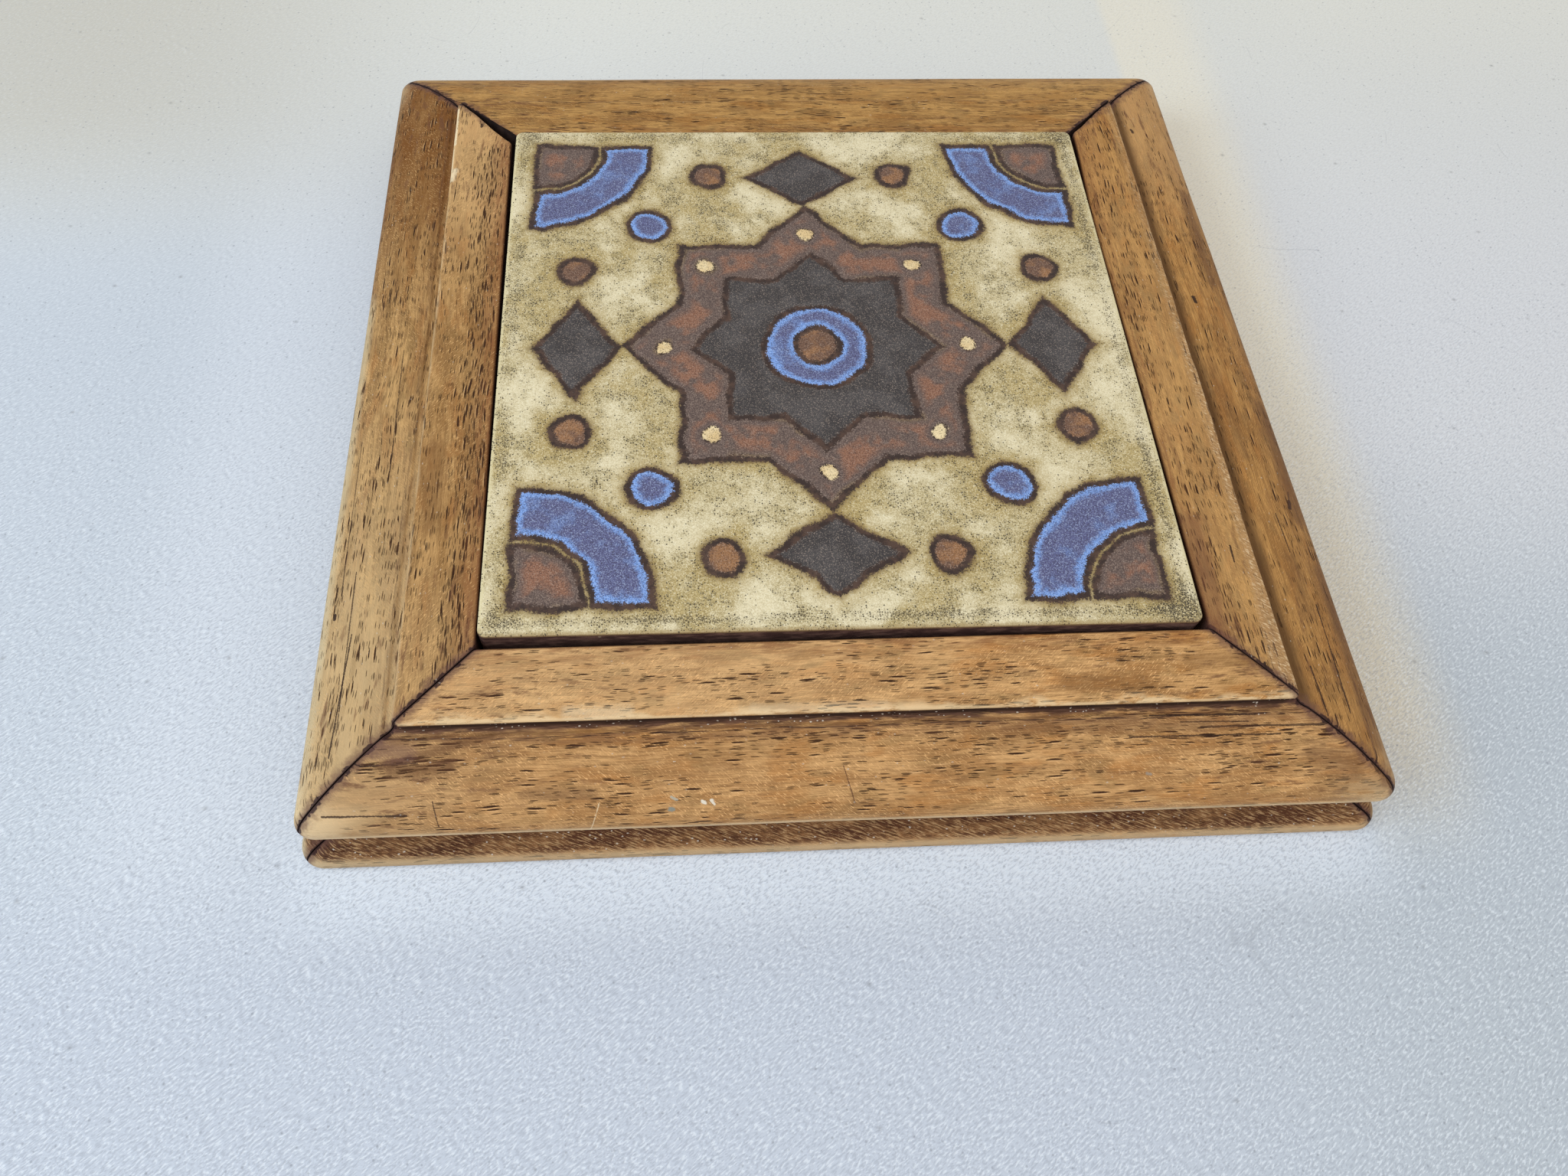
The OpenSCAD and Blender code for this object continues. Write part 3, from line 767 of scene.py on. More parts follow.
# %% Stains and worn edges
def lay_wear(w):
    stain = w.cloud(w.grain, (9, 2.0), detail=4, roughness=0.65).rise(0.55, 0.68)
    stain = stain * (w.mitre.rise(45, 4) * 0.65 + 0.35)
    w.lay(stain * 0.72, (0.13, 0.052, 0.026))

    w.breakup = w.cloud(w.grain, (7, 2.4), detail=4, roughness=0.7)
    spread = w.cloud(w.grain, (15, 60)).rise(0.38, 0.66) * w.pale_width + 0.7
    edge = ((edge_run + 0.4 - w.across) / spread).rise(1, 0.1) * w.at_edge * w.breakup.rise(0.36, 0.50)
    rim = w.across.rise(rim_run - 3.0, rim_run - 1.6) * w.across.rise(rim_run + 0.3, rim_run - 0.2)
    rim = rim * w.breakup.rise(0.26, 0.42)
    corner = w.mitre.rise(12, 2) * w.out.rise(NOSE - 6, NOSE - 0.8) * w.z.rise(11, 13) * w.breakup.rise(0.3, 0.5)
    w.pale = edge.math("MAXIMUM", rim).math("MAXIMUM", corner * 0.8)
    w.lay(w.pale * min(0.26 + 0.20 * w.pale_width, 0.8), (0.80, 0.60, 0.36))
    if w.strip:
        inner_side = w.across + w.along.rise(-45, -95) * 2.6 + (w.uneven - 0.5) * 3.0
        rubbed = inner_side.rise(edge_run - w.strip, edge_run - w.strip + 2.2) * w.at_edge
        rubbed = rubbed * (w.along.rise(70, -40) * 0.7 + 0.3)
        crosswise = w.cloud(w.vector(w.along + w.across * 0.5, w.across), (0.42, 1.3), roughness=0.6)
        w.lay(rubbed * 0.55, (0.47, 0.290, 0.145))
        w.lay(rubbed * crosswise.rise(0.54, 0.62) * 0.66, (0.80, 0.61, 0.39))
        w.lay(rubbed * crosswise.rise(0.45, 0.38) * 0.50, (0.22, 0.115, 0.050))
        w.lay(rubbed * w.pores * 0.6, (0.09, 0.04, 0.025))

# %% [markdown]
# ### Dirt and painted shade in the hollow
#
# Dirt stays where a cloth doesn't reach. It runs down the lip beside the tile, and a near-black line there
# is painted shade of the gap that the tile hides. Dirt fills the riser of the step and the hollow at its foot,
# where a second, broken line of it follows. The riser is painted darker than its dirt alone, as painted
# shade, and a soft painted shadow lies in the hollow below it.

# %% Dirt and painted shade in the hollow
def lay_hollow_dirt_and_shade(w):
    reddened = w.across.rise(lip_run + 5.5, lip_run) * w.uneven.rise(0.44, 0.62) * 0.55
    lip = reddened.math("MAXIMUM", w.across.rise(lip_run + 0.8, lip_run - 0.6) * 0.75)
    w.lay(lip, (0.21, 0.075, 0.030))
    # Near-black line on the lip's rim and wall: painted shade of the gap that the tile hides.
    w.lay(w.across.rise(lip_run + 0.45, lip_run - 0.6) * 0.93, (0.028, 0.012, 0.009))
    hollow_end = hollow_run - 2.6 + w.uneven * 3.2 * w.step_dirt
    w.riser = w.across.rise(edge_run + 0.35, edge_run + 0.9) * (w.across - hollow_end).rise(0.5, -0.5)
    smear = w.cloud(w.grain, (5, 0.28), roughness=0.6)
    # The riser's colour is dirt and painted shade: darker than dirt alone, and near black at the riser's top.
    dirt = w.mix(smear.rise(0.42, 0.55), (0.125, 0.062, 0.044), (0.028, 0.011, 0.010))
    dirt = w.mix(w.across.rise(edge_run + 2.6, edge_run + 1.5) * 0.90, dirt, (0.018, 0.007, 0.007))
    w.lay(w.riser * (0.30 + 0.66 * w.step_dirt), dirt)
    # Painted shadow in the hollow at the step's foot.
    shadow = w.across.rise(riser_run, hollow_run) * w.across.rise(hollow_run + 4.5, hollow_run) * w.step_dirt
    w.lay(shadow * w.uneven.rise(0.36, 0.56) * 0.60, (0.16, 0.070, 0.036))
    w.second_line = w.across.near(hollow_run + 0.5 + (w.sway - 0.5) * 3, 0.42) * smear.rise(0.46, 0.52)
    w.lay(w.second_line * 0.92 * w.step_dirt, (0.035, 0.013, 0.012))
    # Painted shade in the groove beside the step's edge, on the rail that chooses it.
    if w.groove:
        w.lay(w.across.near(hollow_run - 0.7, 3.2) * (1 - w.at_edge) * w.groove, (0.105, 0.052, 0.019))

# %% [markdown]
# ### Painted shade in the cove, and dirt in the mitres
#
# The cove was never sanded, so its fibres stand up torn and pale out of a dark colour, which is painted
# shade under the nose, darkest in a line just below it. The foot under it is rubbed pale, and a painted
# contact shadow darkens it where it meets the table. Glue and dirt make each mitre a dark line.

# %% Painted shade in the cove, and dirt in the mitres
def lay_cove_foot_and_painted_shade(w):
    w.in_cove = w.across.rise(rim_run - 0.1, rim_run + 0.5) * w.across.rise(bead_run + 2.6, bead_run + 0.9)
    slant = w.vector(w.along * 0.93 + w.across * 0.37, w.across * 0.93 - w.along * 0.37, w.seed)
    w.torn = w.cloud(slant, (2.4, 0.30), detail=3, roughness=0.7)
    # The cove's dark colour is painted shade under the nose, with pale torn fibres standing out of it.
    cove = w.mix(w.mottle.rise(0.42, 0.58), (0.105, 0.036, 0.017), (0.250, 0.118, 0.050))
    cove = w.mix(w.torn.rise(0.50, 0.40) * 0.7, cove, (0.040, 0.015, 0.010))
    lower = w.across.rise(cove_run - 1, bead_run + 1.5) * 0.05
    cove = w.mix((w.torn + lower).rise(0.56, 0.63) * 0.80, cove, (0.50, 0.32, 0.165))
    # A near-black line just under the nose: painted shade of its overhang.
    cove = w.mix(w.across.rise(rim_run + 2.6, rim_run + 0.8) * 0.7, cove, (0.050, 0.018, 0.012))
    w.lay(w.in_cove * 0.95, cove)
    w.lay(w.across.near(foot_run - 1.0, 3.4) * (1 - w.in_cove) * w.breakup.rise(0.26, 0.42) * 0.65, w.foot)
    # Painted contact shadow where the foot meets the table.
    w.lay(w.z.rise(1.1, 0.3) * w.out.rise(FOOT - 3, FOOT - 1.5) * 0.7, (0.10, 0.06, 0.04))


def lay_mitre_dirt(w):
    patchy = w.cloud(w.mm, 2.2, detail=3, roughness=0.6)
    w.lay((w.mitre + patchy * 5).rise(5.2, 2.4) * 0.75, (0.125, 0.058, 0.046))
    line = (w.mitre - patchy.rise(0.46, 0.62) * 0.6).rise(0.5, 0.15) * w.z.rise(1.5, 4)
    w.lay(line * 0.92, (0.032, 0.012, 0.013))

# %% [markdown]
# ### Single marks and dust
#
# Some marks belong to this one trivet: scratches, small holes, stains, long cracks and crumbs. Each is a
# stroke between two places on the rail, so that it can be moved by hand. Old dust lies on everything else,
# so it comes last, together with the relief of all the layers.

# %% Single marks
def stroke(along, across, start, end, half, ragged):
    """1 on a straight mark between two places on a rail, half its width in mm, with a ragged rim."""
    run = (end[0] - start[0], end[1] - start[1])
    a, b = along - start[0], across - start[1]
    share = (a * run[0] + b * run[1]) / (run[0] ** 2 + run[1] ** 2)
    share = share.math("MINIMUM", 1.0).math("MAXIMUM", 0.0)
    a, b = a - share * run[0], b - share * run[1]
    rim = (1.3, 0.2) if half > 0.9 else (1.0, 0.45)
    return ((a * a + b * b).math("SQRT") + ragged).rise(half * rim[0], half * rim[1])


def lay_marks(w):
    for along, across, to_along, to_across, half, tint, amount in w.marks:
        ragged = (w.uneven - 0.5) * half * 1.6 + (w.grit - 0.5) * (0.2 + half * 0.6)
        w.lay(stroke(w.along, w.across, (along, across), (to_along, to_across), half, ragged) * amount, tint)

# %% Dust and relief
def dusted(w):
    dusty = (w.riser + w.second_line) * 0.55 * w.step_dirt * w.streaks.rise(0.47, 0.58) * w.uneven.rise(0.44, 0.56)
    dusty = dusty + w.in_cove * 0.08 + 0.005
    specks = w.dashes(w.vector(w.along, w.across), (1.1, 0.62), dusty, 0.14, w.ragged * 1.6 + (w.grit - 0.5) * 0.4)
    w.lay(specks * 0.8, (0.74, 0.66, 0.58))
    rough = 0.50 + w.pores * 0.3 + w.riser * 0.2 + w.in_cove * 0.22 + w.fibre * 0.14 - w.pale * 0.05
    height = w.fibre * 0.05 + w.streaks * 0.04 + w.lines * 0.05 - w.pores * 0.20 + w.flakes * 0.035
    height = height + specks * 0.05 + w.grit * 0.02 + w.torn * w.in_cove * 0.12
    return w.finish(height, Roughness=rough, Specular_IOR_Level=0.18)


def end_grain():
    """The rails' cut ends, dark with old glue and dirt."""
    paint = Paint("end_grain")
    mm, x, y, z = paint.position()
    pits = paint.cells(mm, 0.5, flat=False).rise(0.35, 0.2)
    cloud = paint.cloud(mm, 3, detail=3)
    paint.colour = paint.mix(cloud.rise(0.4, 0.65), (0.018, 0.009, 0.008), (0.040, 0.020, 0.016))
    paint.lay(pits * 0.7, (0.015, 0.008, 0.006))
    return paint.finish(cloud * 0.1 - pits * 0.1, Roughness=0.75 + cloud * 0.1, Specular_IOR_Level=0.2)

# %% [markdown]
# ## The four rails
#
# The rails came from different boards and were used differently, so each has its own colours and amounts.
# Tints colour one stretch each: two places along the rail and two round its section, between which the
# tint rises from nothing. Rows crowd the pores. Marks are strokes: two ends, half a width, tint and amount.

# %% Dress a rail
INK, SOOT, CREAM, UMBER = (0.030, 0.013, 0.009), (0.11, 0.045, 0.020), (0.86, 0.72, 0.50), (0.20, 0.095, 0.032)
GREY, CRUMB = (0.28, 0.27, 0.25), (0.80, 0.75, 0.66)
LAYERS = (lay_figure, lay_flakes, lay_pores, lay_wear, lay_hollow_dirt_and_shade, lay_cove_foot_and_painted_shade, lay_mitre_dirt, lay_marks)
cut_ends = end_grain()


def dress_rail(rail, name, **choices):
    w = Wood(name, **choices)
    for lay in LAYERS:
        lay(w)
    rail.data.materials.append(dusted(w))
    rail.data.materials.append(cut_ends)
    print(name, len(w.tree.nodes), "nodes")

# %% [markdown]
# ### Front rail
#
# It is the palest board, and its step is the dirtiest and carries the most painted shade. Its edge has lost
# the finish along its whole length.

# %% Front rail
dress_rail(
    front, "front_wood",
    along_x=True, seed=1, light=(0.665, 0.385, 0.166), dark=(0.41, 0.205, 0.074), warm=(0.48, 0.205, 0.055),
    pale_width=2.8, step_dirt=1.0, flaked=(1.0, 0.85),
    tints=[
        (200, -200, edge_run, edge_run + 2, (0.34, 0.175, 0.065), 0.45),
        (-98, -109, nose_run - 14, nose_run - 3, (0.70, 0.57, 0.37), 0.70),
        (-60, -108, edge_run, edge_run + 2, (0.44, 0.31, 0.17), 0.50),
        (40, 104, edge_run + 1, edge_run, (0.38, 0.185, 0.050), 0.38),
        (50, -40, edge_run + 1, edge_run, (0.73, 0.51, 0.28), 0.28),
    ],
    rows=[
        (10, 104, hollow_run + 4.5, 3.5, 0.30), (-100, -72, hollow_run + 6, 3.5, 0.55),
        (-60, 20, hollow_run + 2.5, 1.6, 0.5),
    ],
    marks=[
        (-104, nose_run - 5.5, -88, nose_run - 5.2, 0.25, INK, 0.9),
        (-99, hollow_run + 5.5, -86, hollow_run + 5.2, 0.2, INK, 0.9), (-83, 66.8, -82, 71.8, 0.16, INK, 0.8),
        (-3, 62.6, -1, 70.0, 0.16, SOOT, 0.8), (-54, 78.2, -51, 68.2, 0.13, CREAM, 0.5),
        (60, 54.4, 82, 54.9, 0.22, INK, 0.9), (66, 56.0, 80, 56.3, 0.18, INK, 0.8),
        (-93, 59.8, -72, 54.2, 1.2, SOOT, 0.55), (-91, 60.8, -80, 60.2, 1.8, SOOT, 0.60),
        (-65, 66.1, -53, 66.4, 1.7, SOOT, 0.42), (-57, 49.0, -45, 49.2, 1.6, CREAM, 0.35),
        (-20, 49.4, 6, 49.6, 1.3, CREAM, 0.25), (-37.2, 70.0, -36.8, 70.0, 0.6, (0.22, 0.24, 0.22), 0.9),
        (-37, 67.5, -36, 68.0, 0.45, (0.42, 0.45, 0.40), 0.7),
        (-31, 68.6, -30.4, 68.9, 0.4, CRUMB, 0.85),
        (-29.2, 68.4, -28.6, 69.2, 0.35, CRUMB, 0.8),
        (57.6, 66.0, 58.4, 66.2, 0.4, GREY, 0.6),
        (-98, 55.5, -88, 57.5, 2.2, (0.15, 0.075, 0.065), 0.55),
        (70, hollow_run + 3, 100, hollow_run + 3.3, 0.3, INK, 0.8),
        (55, hollow_run + 4.6, 86, hollow_run + 4.9, 0.25, INK, 0.8), (92, 63, 100, 66, 3.0, SOOT, 0.50),
        (30, 56.5, 80, 57.0, 1.6, SOOT, 0.35), (44, 46.0, 60, 46.5, 2.4, UMBER, 0.50),
        (70, 42, 84, 42, 2.2, UMBER, 0.45), (94, nose_run - 4, 106, nose_run - 4.5, 4.0, UMBER, 0.45),
    ])

# %% [markdown]
# ### Right rail
#
# This side is the most handled one. Its edge is rubbed to a dull strip, and its hollow is nearly clean but
# for a soft painted shade in the groove beside the step.

# %% Right rail
dress_rail(
    right_side, "right_wood",
    along_x=False, seed=2, light=(0.530, 0.280, 0.090), dark=(0.350, 0.168, 0.049), warm=(0.41, 0.175, 0.042),
    pale_width=1.0, step_dirt=0.10, pore_amount=0.7, flaked=(0.75, 0.45), groove=0.85, strip=3.4,
    tints=[
        (50, -110, edge_run, edge_run + 2, (0.32, 0.165, 0.055), 0.36),
        (-120, -110, nose_run - 8, nose_run - 1, (0.17, 0.080, 0.026), 0.75),
        (20, 90, lip_run + 10, lip_run + 5, (0.46, 0.215, 0.068), 0.5),
        (120, -20, edge_run, edge_run - 2, (0.64, 0.41, 0.19), 0.24),
        (30, 80, edge_run, edge_run + 2, (0.66, 0.41, 0.19), 0.40),
    ],
    rows=[
        (-100, 100, lip_run + 5, 5, 0.30), (-100, 60, crown_run + 4, 4.0, 0.2), (-100, 60, lip_run + 11, 2.5, 0.2),
    ],
    marks=[
        (-69, 64.0, -94, 63.3, 0.24, INK, 0.9), (-95, 57.6, -84, 57.2, 0.22, INK, 0.9),
        (-56, 61.6, -46, 61.2, 0.18, INK, 0.85), (-43.6, 66.2, -41.8, 66.8, 0.75, INK, 0.95),
        (-42, 66.8, -39, 67.6, 0.3, INK, 0.7), (17, 58.6, 18.6, 58.4, 0.7, INK, 0.95),
        (80, 56.6, 81, 56.4, 0.6, INK, 0.9), (-78, 37, -50, 37.5, 3.2, (0.15, 0.055, 0.032), 0.50),
        (-91, 44.0, -84, 44.4, 0.35, INK, 0.95), (-60, 44.6, -56, 44.7, 0.28, INK, 0.9),
        (-46, 68.0, -14, 68.4, 2.8, SOOT, 0.55), (26, 66.6, 58, 67.4, 2.4, SOOT, 0.55),
        (-100, 68.0, -60, 69.0, 2.4, SOOT, 0.50), (-30, 58.0, -2, 57.4, 2.2, SOOT, 0.30),
        (-72, 60.0, -58, 61.0, 2.4, SOOT, 0.30),
    ])

# %% [markdown]
# ### Back rail
#
# It lies farthest away, is hardly worn, and needs no marks of its own.

# %% Back rail
dress_rail(
    back, "back_wood",
    along_x=True, seed=3, light=(0.52, 0.290, 0.096), dark=(0.32, 0.160, 0.047), warm=(0.39, 0.175, 0.042),
    pale_width=0.4, step_dirt=0.2, pore_amount=1.1, flaked=(0.6, 0.5),
    tints=[
        (-200, 200, edge_run, edge_run + 2, (0.62, 0.36, 0.12), 0.35),
    ])

# %% [markdown]
# ### Left rail
#
# It is pale in front and dark behind, with the densest pores of all along the tile.

# %% Left rail
dress_rail(
    left_side, "left_wood",
    along_x=False, seed=4, light=(0.565, 0.338, 0.138), dark=(0.340, 0.185, 0.066), warm=(0.40, 0.180, 0.054),
    pale_width=0.9, step_dirt=0.40, pore_amount=1.3, flaked=(1.0, 0.7), foot=(0.53, 0.43, 0.28),
    tints=[
        (10, -90, edge_run, edge_run + 2, (0.58, 0.42, 0.23), 0.70),
        (0, 80, edge_run, edge_run + 2, (0.175, 0.064, 0.010), 0.88),
        (30, 20, nose_run - 6.5, nose_run - 4, (0.60, 0.50, 0.32), 0.55),
        (20, 60, edge_run + 1, edge_run, (0.72, 0.46, 0.22), 0.45),
        (60, 20, edge_run + 1, edge_run, (0.26, 0.110, 0.030), 0.24),
        (-48, -76, edge_run + 1, edge_run, (0.64, 0.45, 0.24), 0.18),
        (-120, -110, lip_run + 8, lip_run + 1, (0.27, 0.105, 0.036), 0.50),
    ],
    rows=[
        (-96, 76, lip_run + 5.0, 4.2, 0.80), (-60, 100, lip_run + 1.6, 1.2, 0.5), (-100, 60, crown_run + 4, 7, 0.12),
    ],
    marks=[
        (-96.5, 64.5, -70, 63.0, 0.22, INK, 0.9), (-92, crown_run + 3, -55, crown_run + 3.4, 0.20, INK, 0.8),
        (-60, crown_run + 6.5, -20, crown_run + 6.8, 0.18, INK, 0.7),
        (-30, crown_run - 1.5, 5, crown_run - 1.2, 0.18, INK, 0.8), (-65.3, 68.0, -64.6, 68.0, 0.55, INK, 0.95),
        (80.5, 43.3, 81.5, 43.3, 0.5, INK, 0.9), (-46, edge_run - 3.8, -26, edge_run - 3.2, 3.4, UMBER, 0.50),
        (74, edge_run - 0.2, 88, edge_run - 0.1, 0.55, CREAM, 0.8),
        (60.5, edge_run - 0.4, 64, edge_run - 1.0, 1.0, CREAM, 0.8), (64, edge_run, 72, edge_run, 0.35, CREAM, 0.6),
    ])

# %% [markdown]
# ## The ornament, as distances
#
# The tile's decoration is a plain eight-pointed star with quarter fans, lozenges and dots, painted in five
# glazes with a dark line of resist between them. Every pool of glaze is one distance: how far a point
# lies outside it. The smallest of them all tells where the lines run. The same Python serves twice, with
# numbers for the relief of the mesh and with Wires for the paint, so that the two never part.

# %% Distances from the pools
STAR, INNER_STAR, EYE, PUPIL, LINE = 32.25, 21.0, 12.375, 5.25, 0.8
FIELD = 68.0


def least(first, second):
    return first.math("MINIMUM", second) if isinstance(first, Wire) else np.minimum(first, second)


def most(first, second):
    return first.math("MAXIMUM", second) if isinstance(first, Wire) else np.maximum(first, second)


def reach(x, y):
    total = x * x + y * y
    return total.math("SQRT") if isinstance(total, Wire) else np.sqrt(total)


def between(value, low, high):
    return most(low - value, value - high)


def pools(x, y):
    """How far a point lies outside the pools of each colour, in mm."""
    u, v = most(abs(x), abs(y)), least(abs(x), abs(y))
    star = least(u, (u + v) / math.sqrt(2))
    middle = reach(u, v)
    corner = reach(FIELD - u, FIELD - v)
    spots = least(reach(u - 36.375, v), reach(u - 25.72, v - 25.72))
    ring = most(between(star, INNER_STAR + LINE, STAR - LINE), 2.2 - spots)
    lozenge = (abs(u - 57) / 8.625 + v / 12.375 - 1) * 7.076
    return {
        "brown": least(ring, most(corner - 13.5, u - FIELD)),
        "charcoal": least(most(star - (INNER_STAR - LINE), (EYE + LINE) - middle), lozenge),
        "blue": least(
            least(between(middle, PUPIL + LINE, EYE - LINE), reach(u - 39.75, v - 39.75) - 4.35),
            most(between(corner, 17.25, 27.75), u - FIELD)),
        "rust": least(middle - (PUPIL - LINE), reach(u - 57.75, v - 24.375) - 3.375),
        "cream": spots - 1.8,
    }


def nearest(distances):
    values = list(distances.values())
    found = values[0]
    for value in values[1:]:
        found = least(found, value)
    return found


print("pools:", ", ".join(pools(np.zeros(1), np.zeros(1))))

# %% [markdown]
# ## The glazed face
#
# The coat on the clay is one skin: pools of glaze stand a little proud, the resist lines between them lie
# a little low, and the skin rolls over the tile's edge and ends in a wavy rim. A fine grid takes that
# relief well. Its outer edge is extruded outwards and down in a few steps to make the roll.

# %% Relief of the face
TILE_HALF, CORNER_R, ROLL_R = 75.0, 1.8, 0.4
TILE_TURN, TILE_SHIFT = math.radians(-0.35), Vector((-0.1, 0.3, 0))
GRID = 288
LUMP, POOL_RISE, LINE_SINK, RIM_FALL = 0.02, 0.08, 0.03, 0.05


def rounded_corner(x, y, half, radius):
    """Moves the points of a square's corners onto a round corner."""
    a, b = np.clip(abs(x) - half + radius, 0, radius), np.clip(abs(y) - half + radius, 0, radius)
    a2 = a * np.sqrt(1 - (b / radius) ** 2 / 2)
    b2 = b * np.sqrt(1 - (a / radius) ** 2 / 2)
    both = (a > 0) & (b > 0)
    return (np.where(both, np.sign(x) * (half - radius + a2), x),
            np.where(both, np.sign(y) * (half - radius + b2), y))


def soft(values, low, high):
    t = np.clip((values - low) / (high - low), 0, 1)
    return t * t * (3 - 2 * t)

# %% Raise the pools
bm = bmesh.new()
bmesh.ops.create_grid(bm, x_segments=GRID, y_segments=GRID, size=TILE_HALF - ROLL_R)
co = np.array([v.co for v in bm.verts])
x, y = rounded_corner(co[:, 0], co[:, 1], TILE_HALF - ROLL_R, CORNER_R - ROLL_R)
gap = nearest(pools(x, y))
edge = TILE_HALF - np.maximum(abs(x), abs(y))
lumps = np.array([noise.noise(Vector((a / 7, b / 7, 3))) for a, b in zip(x, y)])
height = TILE_TOP + LUMP * lumps + POOL_RISE * soft(-gap, -0.2, 0.5)
height -= LINE_SINK * soft(gap, -0.1, 0.4) * soft(gap, 1.9, 1.3)
height -= RIM_FALL * soft(edge, 1.6, 0.4)
for v, a, b, c in zip(bm.verts, x, y, height):
    v.co = (a, b, c)
print("face:", len(bm.faces), "faces, highest", round(float(height.max()), 2), "mm")

# %% Roll the rim and close the skin
ROLL_STEP = 30
CORE = TILE_HALF - CORNER_R
rim_edges = [e for e in bm.edges if len(e.link_faces) == 1]
for degrees in range(ROLL_STEP, 91, ROLL_STEP):
    made = bmesh.ops.extrude_edge_only(bm, edges=rim_edges)["geom"]
    rim_edges = only(BMEdge, made)
    last, angle = math.radians(degrees - ROLL_STEP), math.radians(degrees)
    for v in only(BMVert, made):
        outwards = Vector([c - max(min(c, CORE), -CORE) for c in v.co.xy] + [0]).normalized()
        v.co += outwards * ROLL_R * (math.sin(angle) - math.sin(last))
        v.co.z -= ROLL_R * (math.cos(last) - math.cos(angle))
for depth, inset in ((0.3, 0.0), (0.2, 0.12)):
    made = bmesh.ops.extrude_edge_only(bm, edges=rim_edges)["geom"]
    rim_edges = only(BMEdge, made)
    for v in only(BMVert, made):
        v.co.z -= depth * (1 + 0.8 * noise.noise(Vector((v.co.x / 5, v.co.y / 5, 8))))
        v.co.x *= 1 + (0.02 - inset) / TILE_HALF
        v.co.y *= 1 + (0.02 - inset) / TILE_HALF
bmesh.ops.edgeloop_fill(bm, edges=rim_edges)
into_place(bm, TILE_TURN, TILE_SHIFT)
for f in bm.faces:
    f.smooth = len(f.verts) == 4
glazed_face = placed("glazed_face", bm)
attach(glazed_face, "root")
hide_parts("tile_glaze", "glaze_ornament")
print("glazed face:", len(glazed_face.data.polygons), "faces")

# %% [markdown]
# ## Painted glaze
#
# The glazes are matt and speckled. One material could be made for each colour, but the colours meet in
# frayed rims that belong to both, so one material paints the whole face. It asks the same pools() as the
# mesh did, and a little noise added to the coordinates frays every outline at once.

# %% Coordinates and noises of the glaze
class Glaze(Paint):
    """The paint of the tile's face. Its x and y lie square with the tile, in mm."""

    def __init__(self, name):
        super().__init__(name)
        self.mm, x, y, self.z = self.position()
        x, y = x - TILE_SHIFT.x, y - TILE_SHIFT.y
        c, s = math.cos(-TILE_TURN), math.sin(-TILE_TURN)
        self.x, self.y = x * c - y * s, x * s + y * c
        hand = self.cloud(self.mm, 8, detail=1)
        hand_y = self.cloud(self.vector(self.y + 77, self.x), 8, detail=1)
        self.wisps = self.cloud(self.mm, 3, detail=4, roughness=0.7)
        self.sand = self.cloud(self.mm, 0.8, detail=3, roughness=0.75)
        self.grain = self.cloud(self.mm, 0.28, roughness=0.7)
        self.tan = self.cloud(self.vector(self.x + 300, self.y), (19, 19), detail=3, roughness=0.6)
        self.distances = pools(self.x + (hand - 0.5) * 3.2, self.y + (hand_y - 0.5) * 3.2)
        self.frayed = (self.grain - 0.5) * 2.1 + (self.sand - 0.5) * 1.9
        self.gap = nearest(self.distances) + self.frayed

# %% [markdown]
# ### The cream ground
#
# A cream glaze over brown clay is never one colour: it clouds to greenish grey and tan where it is thin,
# and iron from the lines bleeds into it as an olive halo. Clouds of several sizes stand for this. The rim
# is pale at the sides and tan in front. Black specks follow it inside, thickest in the front right corner.

# %% Cream ground and rim
CORNER_SMUDGES = ((71, -72, 8, 2, 1), (71, 73, 6, 1, 0.6), (-70, 73, 5, 1, 0.6), (-70, -71, 6, 1, 0.45))


def lay_ground(g):
    clouds = g.cloud(g.mm, 15, detail=3, roughness=0.6)
    g.clean = clouds.rise(0.38, 0.58) * g.tan.rise(0.62, 0.44)
    g.colour = g.mix(g.clean, (0.57, 0.475, 0.265), (0.775, 0.690, 0.475))
    g.lay(g.tan.rise(0.49, 0.62) * 0.70, (0.47, 0.350, 0.130))
    g.lay(g.wisps.rise(0.48, 0.60) * (0.60 - g.clean * 0.38), (0.40, 0.330, 0.170))
    halo = g.gap.rise(6.5, 1.4) * (g.wisps * 1.6 + clouds * 0.7 - 0.50)
    g.lay(halo, (0.41, 0.29, 0.09))
    g.lay(g.grain.rise(0.53, 0.60) * (0.72 - g.clean * 0.42), (0.25, 0.195, 0.095))
    g.lay(g.grain.rise(0.46, 0.38) * 0.50, (0.90, 0.86, 0.69))


def lay_rim(g):
    x, y = g.x, g.y
    edge = TILE_HALF - most(abs(x), abs(y))
    ragged = edge + (g.sand - 0.5) * 1.6
    g.lay(ragged.rise(1.0, 0.4) * abs(x).rise(73, 74) * 0.75, (0.72, 0.64, 0.40))
    g.lay(ragged.rise(1.1, 0.2) * y.rise(-72.5, -74) * 0.75, (0.36, 0.26, 0.115))
    share = g.tan.rise(0.42, 0.58) * 0.5 + y.rise(-68, -71) * 0.35 + x.rise(70, 72) * 0.35
    seam = edge.near(2.9 + (g.wisps - 0.5) * 4.5, 1.6) * share
    smudge = 0
    for corner_x, corner_y, wide, narrow, amount in CORNER_SMUDGES:
        smudge = smudge + reach(x - corner_x, y - corner_y).rise(wide, narrow) * amount
    crowded = g.wisps.rise(0.48, 0.58) * (1 - g.clean * 0.8) * 0.9 + 0.06 + seam * 1.1 + smudge * 0.9
    specks = g.dashes(g.vector(x, y), (0.52, 0.52), crowded, 0.20, (g.grain - 0.5) * 1.2)
    g.lay((seam + smudge) * g.grain.rise(0.48, 0.55) * 0.78, (0.085, 0.072, 0.050))
    g.lay(specks * 0.95, (0.035, 0.024, 0.014))

